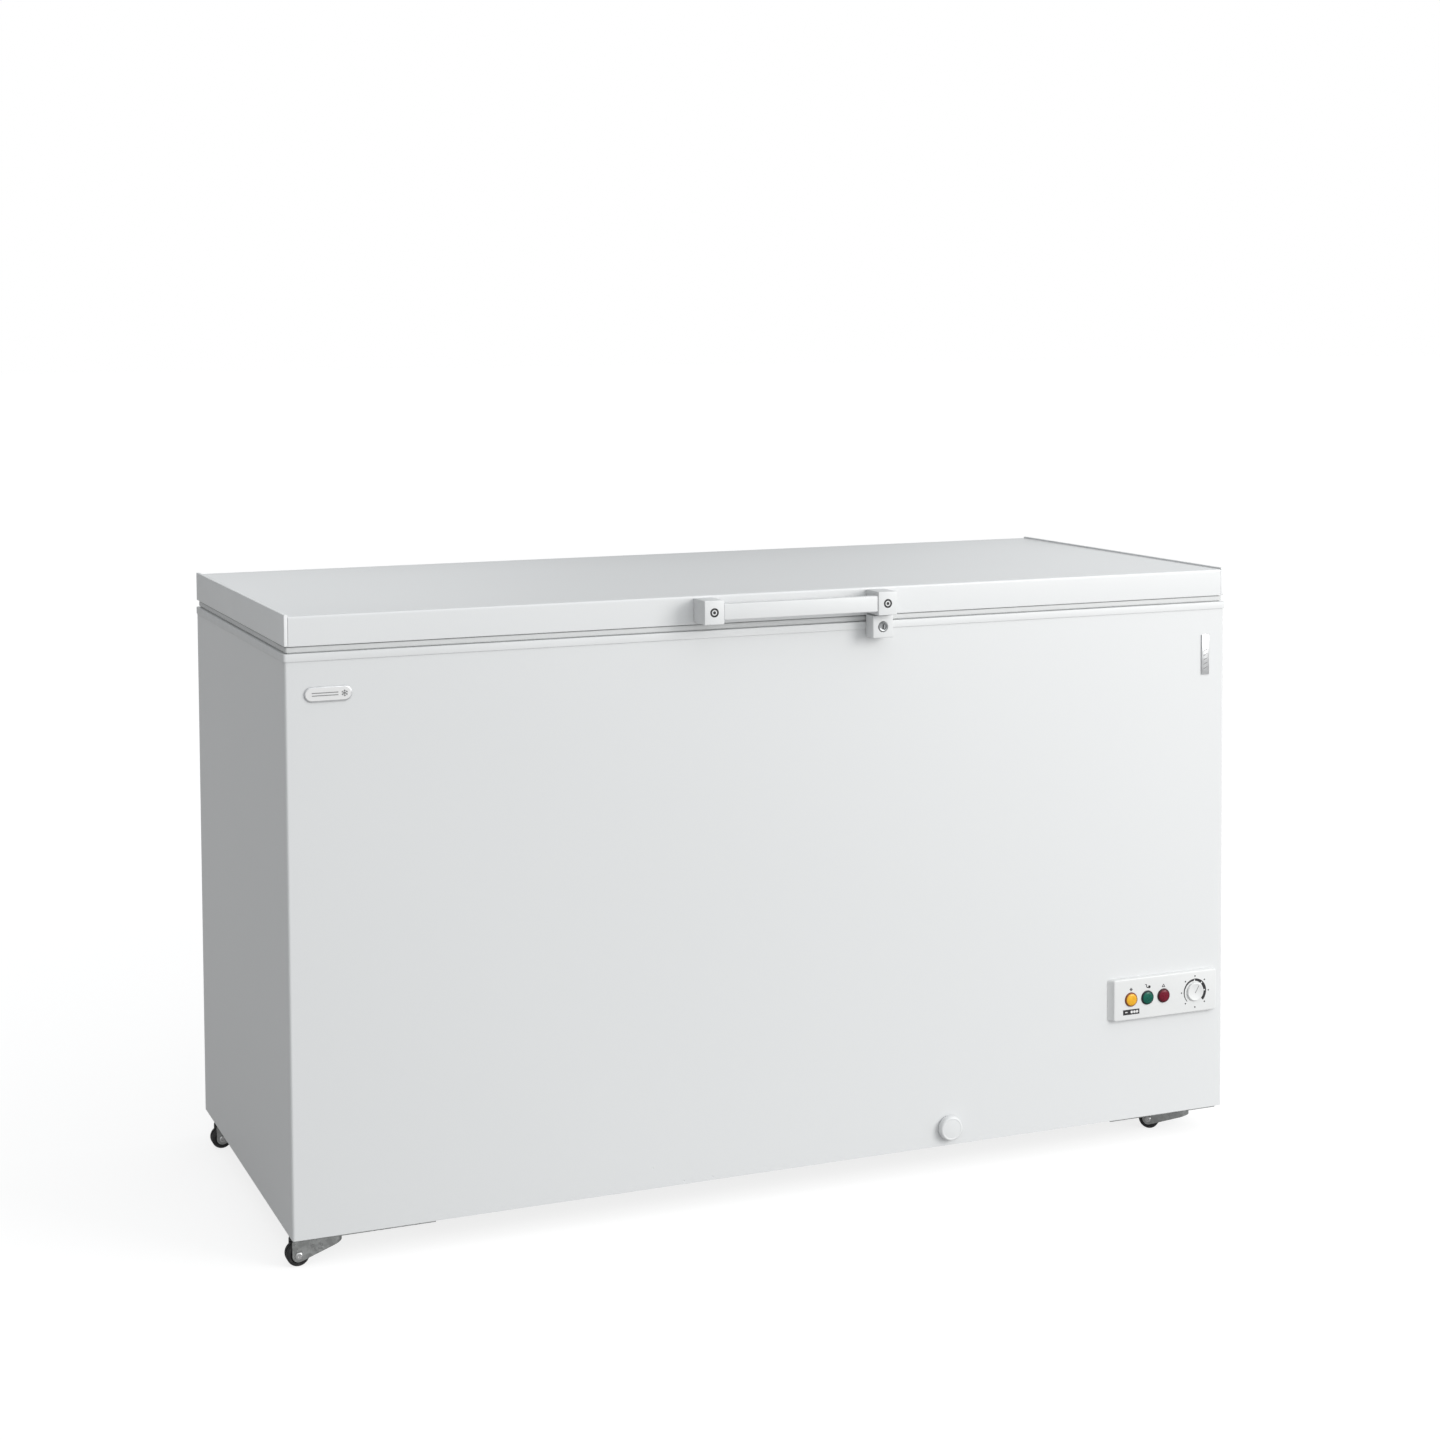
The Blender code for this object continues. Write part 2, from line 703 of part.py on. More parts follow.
def make_drain():
    route = rounded_route(drain_route(0.0), DRAIN_BEND, 3)
    route[-1] = Vector((route[-1].x, Y0 - DRAIN_TIP, route[-1].z))
    pipe = tube_mesh("drain_tube", route, DRAIN_BORE + DRAIN_TUBE_T, WHITE_PLASTIC)
    route = rounded_route(drain_route(THROUGH), DRAIN_BEND, 3)
    cut(pipe, tube_mesh("drain_bore", route, DRAIN_BORE, None))
    smooth(pipe)

    outlet = drain_outlet()
    front = Y0 - DRAIN_TIP - GAP
    stem_r = DRAIN_BORE - STOPPER_FIT
    turned("drain_cap", [
        (0.0, DRAIN_CAP_PROUD),
        (DRAIN_CAP_R - STOPPER_EDGE, DRAIN_CAP_PROUD),
        (DRAIN_CAP_R, DRAIN_CAP_PROUD - STOPPER_EDGE),
        (DRAIN_CAP_R, 0.0),
        (stem_r, 0.0),
        (stem_r - STOPPER_DRAFT, -STOPPER_L),
        (0.0, -STOPPER_L),
    ], (outlet.x, front, outlet.z), (0, -1, 0), WHITE_PLASTIC)

    inlet = drain_inlet()
    turned("drain_plug", [
        (0.0, DRAIN_PLUG_PROUD),
        (DRAIN_PLUG_FLANGE - STOPPER_EDGE, DRAIN_PLUG_PROUD),
        (DRAIN_PLUG_FLANGE, DRAIN_PLUG_PROUD - STOPPER_EDGE),
        (DRAIN_PLUG_FLANGE, GAP),
        (stem_r, GAP),
        (stem_r - STOPPER_DRAFT, -STOPPER_L),
        (0.0, -STOPPER_L),
    ], (inlet.x, inlet.y, inlet.z), (0, 0, 1), WHITE_PLASTIC)


def make_machine_panel():
    """The bent sheet between the foam and the compressor room."""
    inset = SKIN + COIL_SPACE
    right = X1 - inset
    points = [
        (MACHINE_X - SKIN, Z0 + BASE_T + GAP),
        (MACHINE_X, Z0 + BASE_T + GAP),
        (MACHINE_X, MACHINE_Z),
        (right, MACHINE_Z),
        (right, MACHINE_Z + SKIN),
        (MACHINE_X - SKIN, MACHINE_Z + SKIN),
    ]
    panel = outline("machine_room_panel", points, CABINET_D - 2 * inset, upright((Y0 + Y1) / 2), ZINC)
    for number, place in enumerate(coil_side(LINER_X1 + SKIN + COIL_SPACE / 2)):
        start = place + Vector((0.0, 0.0, MACHINE_Z - THROUGH))
        cut(panel, cylinder(f"panel_lead_{number}", TUBE_R + LEAD_FIT, 2 * THROUGH, start, (0, 0, 1),
                            None, ROUND_SMALL))


def inset_rect(inset):
    return (X0 + inset, X1 - inset, Y0 + inset, Y1 - inset)


def make_collar():
    """The plastic frame over the rims of the wrap and the liner."""
    lip = WALL + GAP + COLLAR_T
    collar = rect_ring("top_collar", inset_rect(-COLLAR_PROUD), inset_rect(lip), Z1 - COLLAR_SKIRT, Z1,
                       WHITE_PLASTIC)
    groove = rect_ring("collar_groove", inset_rect(-GAP), inset_rect(WALL + GAP),
                       Z1 - COLLAR_SKIRT - THROUGH, Z1 - COLLAR_T, None)
    cut(collar, groove)


# ---------------------------------------------------------------- cooling circuit
def coil_route(x_right, x_left, y_front, z_low, z_high):
    """Back and forth round the right side, the front and the left side, rising by one pass each time."""
    lead_y, return_y = coil_lead_ys()
    bends = [(x_right, lead_y), (x_right, y_front), (x_left, y_front), (x_left, lead_y)]
    route = []
    for number in range(COIL_PASSES):
        z = z_low + (z_high - z_low) * number / (COIL_PASSES - 1)
        ordered = bends if number % 2 == 0 else bends[::-1]
        route += [(x, y, z) for x, y in ordered]
    route[-1] = (x_right, return_y, z_high)
    return route


def compressor_axis():
    middle = (MACHINE_X + X1 - SKIN) / 2
    return Vector((middle - COMPRESSOR_LEFT, Y1 - COMPRESSOR_REAR, 0.0))


def beside_compressor(toward, z):
    """The place on the compressor's shell that faces a point."""
    axis = compressor_axis()
    way = (Vector((toward[0], toward[1], 0.0)) - axis).normalized()
    place = axis + way * (COMPRESSOR_R + COMPRESSOR_CLEAR)
    return (place.x, place.y, z)


def make_cooling():
    middle = COIL_SPACE / 2
    suction_z = Z0 + SUCTION_Z
    discharge_z = Z0 + DISCHARGE_Z
    evaporator_x = LINER_X1 + SKIN + middle
    condenser_x = X1 - SKIN - middle
    lead_y, return_y = coil_lead_ys()
    drier = Vector((X1 - SKIN - DRIER_SIDE, return_y, Z0 + DRIER_Z))

    route = coil_route(evaporator_x, LINER_X0 - SKIN - middle, LINER_Y0 - SKIN - middle,
                       STEP_Z + EVAPORATOR_LOW, RIM_Z - EVAPORATOR_TOP)
    start = [beside_compressor((evaporator_x, lead_y), suction_z), (evaporator_x, lead_y, suction_z)]
    under = drier.z - 0.022
    finish = [
        (evaporator_x, return_y, under),
        (drier.x, drier.y, under),
        (drier.x, drier.y, drier.z - GAP),
    ]
    tube("evaporator_coil", rounded_route(start + route + finish, COIL_BEND), TUBE_R, COPPER)

    route = coil_route(condenser_x, X0 + SKIN + middle, Y0 + SKIN + middle, STEP_Z + CONDENSER_LOW,
                       RIM_Z - CONDENSER_TOP)
    start = [beside_compressor((condenser_x, lead_y), discharge_z), (condenser_x, lead_y, discharge_z)]
    top = drier.z + DRIER_L + GAP
    finish = [
        (condenser_x, return_y, top + 0.045),
        (drier.x, drier.y, top + 0.025),
        (drier.x, drier.y, top),
    ]
    tube("condenser_coil", rounded_route(start + route + finish, COIL_BEND), TUBE_R, COPPER)

    turned("filter_drier", [
        (0.0, DRIER_L),
        (DRIER_NECK_R, DRIER_L),
        (DRIER_R, DRIER_L - DRIER_CONE),
        (DRIER_R, DRIER_CONE),
        (DRIER_NECK_R, 0.0),
        (0.0, 0.0),
    ], drier, (0, 0, 1), COPPER, ROUND_SMALL)


def make_compressor():
    axis = compressor_axis()
    floor = Z0 + BASE_T + GAP
    half = COMPRESSOR_R + PAD_EDGE
    deep = half * PAD_D
    box("compressor_mount_pad", (axis.x - half, axis.y - deep, floor),
        (axis.x + half, axis.y + deep, floor + PAD_T), BLACK_RUBBER)
    foot = floor + PAD_T + GAP
    dome = COMPRESSOR_DOME
    shell = turned("compressor", [
        (0.0, COMPRESSOR_H),
        (COMPRESSOR_R * 0.45, COMPRESSOR_H - dome * 0.10),
        (COMPRESSOR_R * 0.80, COMPRESSOR_H - dome * 0.40),
        (COMPRESSOR_R, COMPRESSOR_H - dome),
        (COMPRESSOR_R, dome),
        (COMPRESSOR_R * 0.80, dome * 0.40),
        (COMPRESSOR_R * 0.45, COMPRESSOR_PLATE_T / 3),
        (0.0, COMPRESSOR_PLATE_T / 3),
    ], (axis.x, axis.y, foot), (0, 0, 1), BLACK_ENAMEL)
    plate = box("compressor_plate", (axis.x - half, axis.y - deep, foot),
                (axis.x + half, axis.y + deep, foot + COMPRESSOR_PLATE_T), None)
    join(shell, plate)

    relay_w, relay_d, relay_h = RELAY_SIZE
    rear = axis.y - COMPRESSOR_R - COMPRESSOR_CLEAR
    low = foot + RELAY_Z
    relay = box("start_relay_box", (axis.x - relay_w / 2, rear - relay_d, low),
                (axis.x + relay_w / 2, rear, low + relay_h), BLACK_PLASTIC)
    bevel(relay, RELAY_EDGE, 2)


def make_rear_fittings():
    x_lo, x_hi, z_lo, z_hi = grille_window()
    grille = box("rear_grille", (x_lo - GRILLE_EDGE, Y1 + GAP, z_lo - GRILLE_EDGE),
                 (x_hi + GRILLE_EDGE, Y1 + GRILLE_T, z_hi + GRILLE_EDGE), BLACK_PLASTIC)
    pitch = (z_hi - z_lo) / GRILLE_SLOTS
    slots = []
    for number in range(GRILLE_SLOTS):
        low = z_lo + pitch * (number + 0.25)
        slots.append(((x_lo, Y1 - THROUGH, low), (x_hi, Y1 + THROUGH, low + pitch * 0.5)))
    cut(grille, boxes("grille_slots", slots, None))

    turned("cord_gland", [
        (GLAND_BORE, GLAND_REACH),
        (GLAND_R * 0.75, GLAND_REACH),
        (GLAND_R * 0.85, GLAND_FLANGE_T),
        (GLAND_R, GLAND_FLANGE_T),
        (GLAND_R, GAP),
        (GLAND_R * GLAND_NECK, GAP),
        (GLAND_R * GLAND_NECK, -GLAND_TAIL),
        (GLAND_BORE, -GLAND_TAIL),
    ], gland_place(), (0, 1, 0), BLACK_PLASTIC, ROUND_SMALL, closed=True)


# ---------------------------------------------------------------- controls and plates
def make_controls():
    centre = bezel_centre()
    front = Y0 - BEZEL_T
    bezel = box("control_bezel", (centre.x - BEZEL_W / 2, front, centre.z - BEZEL_H / 2),
                (centre.x + BEZEL_W / 2, Y0 - GAP, centre.z + BEZEL_H / 2), WHITE_PLASTIC)
    bevel(bezel, BEZEL_CHAMFER, 1)
    names = ("super_freeze_button", "power_lamp", "alarm_lamp")
    for index, (name, finish) in enumerate(zip(names, (YELLOW_LENS, GREEN_LENS, RED_LENS))):
        place = Vector((lamp_x(index), front, centre.z))
        cut(bezel, cylinder(f"{name}_hole", LAMP_R + RUN_FIT, 4 * THROUGH,
                            place - Vector((0.0, 2 * THROUGH, 0.0)), (0, 1, 0), None))
        turned(name, [
            (0.0, LAMP_PROUD),
            (LAMP_R * 0.6, LAMP_PROUD * 0.9),
            (LAMP_R, LAMP_PROUD * 0.4),
            (LAMP_R, -BEZEL_T - LAMP_TAIL),
            (0.0, -BEZEL_T - LAMP_TAIL),
        ], place, (0, -1, 0), finish)

    place = Vector((knob_x(), front, centre.z))
    cut(bezel, cylinder("knob_hole", SHAFT_R + RUN_FIT, 4 * THROUGH,
                        place - Vector((0.0, 2 * THROUGH, 0.0)), (0, 1, 0), None, ROUND_SMALL))
    knob = turned("thermostat_knob", [
        (0.0, KNOB_PROUD),
        (KNOB_R - 0.0020, KNOB_PROUD),
        (KNOB_R - 0.0008, KNOB_PROUD - 0.0012),
        (KNOB_R, KNOB_CLEAR),
        (0.0, KNOB_CLEAR),
    ], place, (0, -1, 0), WHITE_PLASTIC)
    face = front - KNOB_PROUD
    pointer = box("knob_pointer", (place.x - POINTER_W / 2, face - POINTER_PROUD, centre.z),
                  (place.x + POINTER_W / 2, face + POINTER_PROUD, centre.z + KNOB_R - POINTER_INSET), None)
    pointer.data.transform(Matrix.Translation((place.x, 0.0, centre.z))
                           @ Matrix.Rotation(math.radians(KNOB_REST_DEG), 4, "Y")
                           @ Matrix.Translation((-place.x, 0.0, -centre.z)))
    join(knob, pointer)

    rear = Y0 + THERMOSTAT_SET
    body = box("thermostat_body", (place.x - THERMOSTAT_W / 2, rear, centre.z - THERMOSTAT_H / 2),
               (place.x + THERMOSTAT_W / 2, rear + THERMOSTAT_D, centre.z + THERMOSTAT_H / 2),
               BLACK_PLASTIC)
    shaft = cylinder("thermostat_shaft", SHAFT_R, BEZEL_T + 2 * THERMOSTAT_SET,
                     (place.x, front + GAP, centre.z), (0, 1, 0), None, ROUND_SMALL)
    join(body, shaft)


def make_badge():
    half = BADGE_W / 2 - BADGE_H / 2
    points = arc((half, 0.0), BADGE_H / 2, -90, 90, 8) + arc((-half, 0.0), BADGE_H / 2, 90, 270, 8)
    place = Matrix.Translation((X0 + BADGE_X, Y0 - GAP - PLATE_T / 2, Z1 - BADGE_DROP))
    outline("badge_plate", points, PLATE_T, place @ Matrix.Rotation(math.radians(90), 4, "X"),
            WHITE_PLASTIC)


def make_emblem():
    x = X1 - EMBLEM_RIGHT
    z = Z1 - EMBLEM_DROP
    plate = box("emblem_plate", (x - EMBLEM_W / 2, Y0 - GAP - PLATE_T, z - EMBLEM_H / 2),
                (x + EMBLEM_W / 2, Y0 - GAP, z + EMBLEM_H / 2), SILVER_PLASTIC)
    bevel(plate, PLATE_T * 0.4)


# ---------------------------------------------------------------- lid
def lid_rect(inset):
    return (X0 + inset, X1 - inset, Y0 + inset, LID_Y1 - inset)


def make_lid():
    shell = open_box("lid_shell", (X0 + CAP_T + GAP, Y0, LID_Z0), (X1 - CAP_T - GAP, LID_Y1, LID_Z1),
                     ("z-", "x-", "x+"), WHITE_STEEL)
    bevel(shell, LID_BEND, 2)
    solidify(shell, SKIN, -1.0)
    smooth(shell)

    tongue_z0 = LID_Z0 + PANEL_T + 2 * GAP
    caps = []
    for side, name in ((-1, "left"), (1, "right")):
        outer = side * CABINET_W / 2
        inner = side * (CABINET_W / 2 - CAP_T)
        deep = side * (CABINET_W / 2 - CAP_T - CAP_TONGUE)
        cap = box(f"lid_end_cap_{name}", (min(outer, inner), Y0, LID_Z0),
                  (max(outer, inner), LID_Y1, LID_Z1 + CAP_LIP), WHITE_PLASTIC)
        bevel(cap, CAP_T / 5)
        inset = SKIN + GAP + LID_BEND
        root = inner + side * CAP_T / 2
        join(cap, box(f"cap_tongue_{name}", (min(root, deep), Y0 + inset, tongue_z0),
                      (max(root, deep), LID_Y1 - inset, LID_Z1 - SKIN - GAP), None))
        caps.append(cap)

    inset = SKIN + GAP
    side_inset = CAP_T + 2 * GAP
    x_lo, x_hi = X0 + side_inset, X1 - side_inset
    y_lo, y_hi = Y0 + inset, LID_Y1 - inset
    opening = WALL + GAP + COLLAR_T + PANEL_CLEAR
    panel = lid_panel(x_lo, x_hi, y_lo, y_hi, opening)

    side = CAP_T + CAP_TONGUE + 2 * GAP
    foam = box("lid_foam", (X0 + side, Y0 + inset, LID_Z0 + PANEL_T + GAP),
               (X1 - side, LID_Y1 - inset, LID_Z1 - SKIN - GAP), FOAM)
    bevel(foam, LID_BEND)

    gasket = rect_ring("lid_gasket", inset_rect(GASKET_INSET), inset_rect(GASKET_INSET + GASKET_W),
                       Z1 + GAP, LID_Z0 - GAP, GASKET_RUBBER)
    bevel(gasket, MOULDED_EDGE)
    return [shell, *caps, panel, foam, gasket]


def lid_panel(x_lo, x_hi, y_lo, y_hi, opening):
    """A flat plastic sheet with a shallow tray pushed down into the cabinet's opening."""
    bm = bmesh.new()
    add_box(bm, (x_lo, y_lo, LID_Z0), (x_hi, y_hi, LID_Z0 + PANEL_T))
    panel = new_object("lid_inner_panel", bm, WHITE_PLASTIC)
    trays = []
    for name, grow, low in (("tray_outside", 0.0, LID_Z0 - PANEL_DROP),
                            ("tray_inside", -PANEL_T, LID_Z0 - PANEL_DROP + PANEL_T)):
        bm = bmesh.new()
        top = LID_Z0 + PANEL_T / 2 if grow == 0.0 else LID_Z0 + PANEL_T + THROUGH
        add_box(bm, (X0 + opening - grow, Y0 + opening - grow, low),
                (X1 - opening + grow, Y1 - opening + grow, top))
        for vert in bm.verts:
            if vert.co.z < LID_Z0:
                vert.co.x -= math.copysign(PANEL_TAPER, vert.co.x)
                vert.co.y -= math.copysign(PANEL_TAPER, vert.co.y)
        trays.append(new_object(name, bm, None))
    join(panel, trays[0])
    cut(panel, trays[1])
    return panel


def make_handle():
    bottom = LID_Z0 + HANDLE_LIFT
    front = Y0 - HANDLE_REACH
    blocks = []
    for side, name in ((-1, "left"), (1, "right")):
        outer = side * HANDLE_L / 2
        inner = side * (HANDLE_L / 2 - HANDLE_BLOCK_W)
        block = box(f"handle_block_{name}", (min(outer, inner), front, bottom),
                    (max(outer, inner), Y0 - GAP, bottom + HANDLE_BLOCK_H), WHITE_PLASTIC)
        bevel(block, MOULDED_EDGE, 2)
        smooth(block)
        blocks.append(block)
    lock = lock_centre()
    bolt_y = lock_bolt_y()
    wide = LOCK_BOLT_W / 2 + BOLT_CLEAR
    deep = LOCK_BOLT_T / 2 + BOLT_CLEAR
    cut(blocks[1], box("keeper_slot", (lock.x - wide, bolt_y - deep, bottom - THROUGH),
                       (lock.x + wide, bolt_y + deep, bottom + LOCK_THROW + 3 * BOLT_CLEAR), None))

    reach = HANDLE_L / 2 - HANDLE_BLOCK_W - GAP
    middle = bottom + HANDLE_BLOCK_H / 2
    bar = box("handle_bar", (-reach, front + HANDLE_BAR_SET, middle - HANDLE_BAR_H / 2),
              (reach, front + HANDLE_BAR_SET + HANDLE_BAR_T, middle + HANDLE_BAR_H / 2), WHITE_PLASTIC)
    bevel(bar, HANDLE_BAR_T / 5, 2)
    smooth(bar)
    return [*blocks, bar]


# ---------------------------------------------------------------- lock
def lock_centre():
    x = HANDLE_L / 2 - HANDLE_BLOCK_W / 2
    top = LID_Z0 + HANDLE_LIFT - LOCK_CLEAR
    return Vector((x, Y0, top - LOCK_SIZE / 2))


def lock_bolt_y():
    """The bolt lies in the pocket between the barrel's tail and the cabinet."""
    return Y0 - LOCK_REACH + LOCK_BARREL_L + LOCK_BOLT_T / 2 + BOLT_CLEAR


def make_lock():
    centre = lock_centre()
    half = LOCK_SIZE / 2
    front = Y0 - LOCK_REACH
    clear = COLLAR_PROUD + GAP
    housing = box("lock_housing", (centre.x - half, front, centre.z - half),
                  (centre.x + half, Y0 - clear, centre.z + half), WHITE_PLASTIC)
    bevel(housing, MOULDED_EDGE, 2)
    smooth(housing)
    bolt_y = lock_bolt_y()
    fit = LOCK_BOLT_T / 2 + RUN_FIT
    side = LOCK_BOLT_W / 2 + RUN_FIT
    bore = cylinder("barrel_bore", LOCK_BARREL_R + RUN_FIT, LOCK_BARREL_L + RUN_FIT + THROUGH,
                    (centre.x, front - THROUGH, centre.z), (0, 1, 0), None)
    pocket = box("bolt_pocket", (centre.x - side, bolt_y - fit - BOLT_CLEAR, centre.z - half + LOCK_FLOOR),
                 (centre.x + side, bolt_y + fit, centre.z + half + THROUGH), None)
    cut(housing, bore, pocket)

    proud = front - LOCK_BARREL_PROUD
    tail = -LOCK_BARREL_L - LOCK_BARREL_PROUD + RUN_FIT
    barrel = turned("lock_barrel", [
        (0.0, 0.0),
        (LOCK_BARREL_R - 0.0008, 0.0),
        (LOCK_BARREL_R, -0.0008),
        (LOCK_BARREL_R, tail),
        (0.0, tail),
    ], (centre.x, proud, centre.z), (0, -1, 0), CHROME)
    cut(barrel, box("keyway", (centre.x - KEYWAY_W / 2, proud - THROUGH, centre.z - KEYWAY_H / 2),
                    (centre.x + KEYWAY_W / 2, proud + KEYWAY_DEPTH, centre.z + KEYWAY_H / 2), None))

    bolt_low = centre.z - half + LOCK_FLOOR + 2 * GAP
    box("lock_bolt", (centre.x - LOCK_BOLT_W / 2, bolt_y - LOCK_BOLT_T / 2, bolt_low),
        (centre.x + LOCK_BOLT_W / 2, bolt_y + LOCK_BOLT_T / 2, centre.z + half - BOLT_CLEAR), ZINC,
        (centre.x, bolt_y, centre.z))


# ---------------------------------------------------------------- hinges
def make_hinge(name, x):
    axis = Vector((x, HINGE_AXIS.y, HINGE_AXIS.z))
    half = HINGE_W / 2
    plate_top = Z1 - COLLAR_SKIRT - GAP
    base = box(f"hinge_{name}_base", (x - half, Y1 + GAP, plate_top - HINGE_PLATE_H),
               (x + half, Y1 + HINGE_PLATE_T, plate_top), ZINC)
    for number, side in enumerate((-1, 1)):
        outer = x + side * half
        inner = x + side * (half - HINGE_LUG_T)
        lug = cylinder(f"hinge_{name}_lug_{number}", HINGE_LUG_R, HINGE_LUG_T,
                       (min(outer, inner), axis.y, axis.z), (1, 0, 0), None)
        web = box(f"hinge_{name}_web_{number}",
                  (min(outer, inner), Y1 + HINGE_PLATE_T / 2, plate_top - HINGE_LUG_R * 1.8),
                  (max(outer, inner), axis.y, plate_top), None)
        join(base, web, lug)
    bore = cylinder(f"hinge_{name}_bore", HINGE_PIN_R + GAP, HINGE_W + 2 * THROUGH,
                    (x - half - THROUGH, axis.y, axis.z), (1, 0, 0), None, ROUND_SMALL)
    cut(base, bore)

    pin_end = half + PIN_PROUD
    cylinder(f"hinge_{name}_pin", HINGE_PIN_R, 2 * pin_end, (x - pin_end, axis.y, axis.z), (1, 0, 0),
             ZINC, ROUND_SMALL)

    knuckle_x0 = x - half + HINGE_LUG_T + GAP
    knuckle_x1 = knuckle_x0 + HINGE_KNUCKLE
    arm_y0 = LID_Y1 + GAP
    arm_y1 = arm_y0 + HINGE_PLATE_T
    arm_top = LID_Z1 - HINGE_ARM_TOP
    arm = box(f"hinge_{name}_arm", (knuckle_x0, arm_y0, axis.z), (knuckle_x1, arm_y1, arm_top), ZINC)
    flange = box(f"hinge_{name}_flange", (x - half, arm_y0, LID_Z0 + HINGE_ARM_LOW),
                 (x + half, arm_y1, arm_top), None)
    knuckle_r = min(HINGE_OFFSET - LID_REAR - GAP, HINGE_LUG_R) - KNUCKLE_CLEAR
    knuckle = cylinder(f"hinge_{name}_knuckle", knuckle_r, HINGE_KNUCKLE, (knuckle_x0, axis.y, axis.z),
                       (1, 0, 0), None)
    web = box(f"hinge_{name}_arm_web", (knuckle_x0, arm_y0, axis.z),
              (knuckle_x1, axis.y, axis.z + HINGE_ARM_WEB), None)
    join(arm, flange, web, knuckle)
    cut(arm, bore)

    spring_x0 = knuckle_x1 + SPRING_WIRE_R + SPRING_CLEAR
    spring_x1 = x + half - HINGE_LUG_T - SPRING_WIRE_R - SPRING_CLEAR
    route = []
    for step in range(SPRING_TURNS * SPRING_STEPS + 1):
        share = step / (SPRING_TURNS * SPRING_STEPS)
        angle = 2 * math.pi * step / SPRING_STEPS
        route.append((spring_x0 + (spring_x1 - spring_x0) * share,
                      axis.y + SPRING_R * math.cos(angle), axis.z + SPRING_R * math.sin(angle)))
    tube(f"hinge_{name}_spring", route, SPRING_WIRE_R, ZINC, 1)
    return arm


# ---------------------------------------------------------------- casters
def caster_place(side_x, side_y):
    x = side_x * (CABINET_W / 2 - CASTER_SIDE)
    y = Y0 + CASTER_FRONT if side_y < 0 else Y1 - CASTER_REAR
    return x, y


def make_rail(name, side):
    """A steel strap under one end of the cabinet, with a headed stud for each caster."""
    outer = side * (CABINET_W / 2 - RAIL_INSET)
    inner = side * (CABINET_W / 2 - RAIL_INSET - RAIL_W)
    top = Z0 - GAP
    rail = box(f"caster_rail_{name}", (min(outer, inner), Y0 + RAIL_SETBACK, top - RAIL_T),
               (max(outer, inner), Y1 - RAIL_SETBACK, top), ZINC)
    fork_bottom = top - RAIL_T - GAP - FORK_T
    for side_x, side_y, _ in CASTERS.values():
        if side_x != side:
            continue
        x, y = caster_place(side_x, side_y)
        head_top = fork_bottom - GAP
        stud = turned(f"stud_{name}_{'front' if side_y < 0 else 'rear'}", [
            (0.0, top - RAIL_T / 2),
            (STUD_R, top - RAIL_T / 2),
            (STUD_R, head_top),
            (STUD_HEAD_R, head_top),
            (STUD_HEAD_R, head_top - STUD_HEAD_T),
            (0.0, head_top - STUD_HEAD_T),
        ], (x, y, 0.0), (0, 0, 1), None, ROUND_SMALL)
        join(rail, stud)


def fork_half():
    return WHEEL_W / 2 + FORK_SIDE + FORK_T


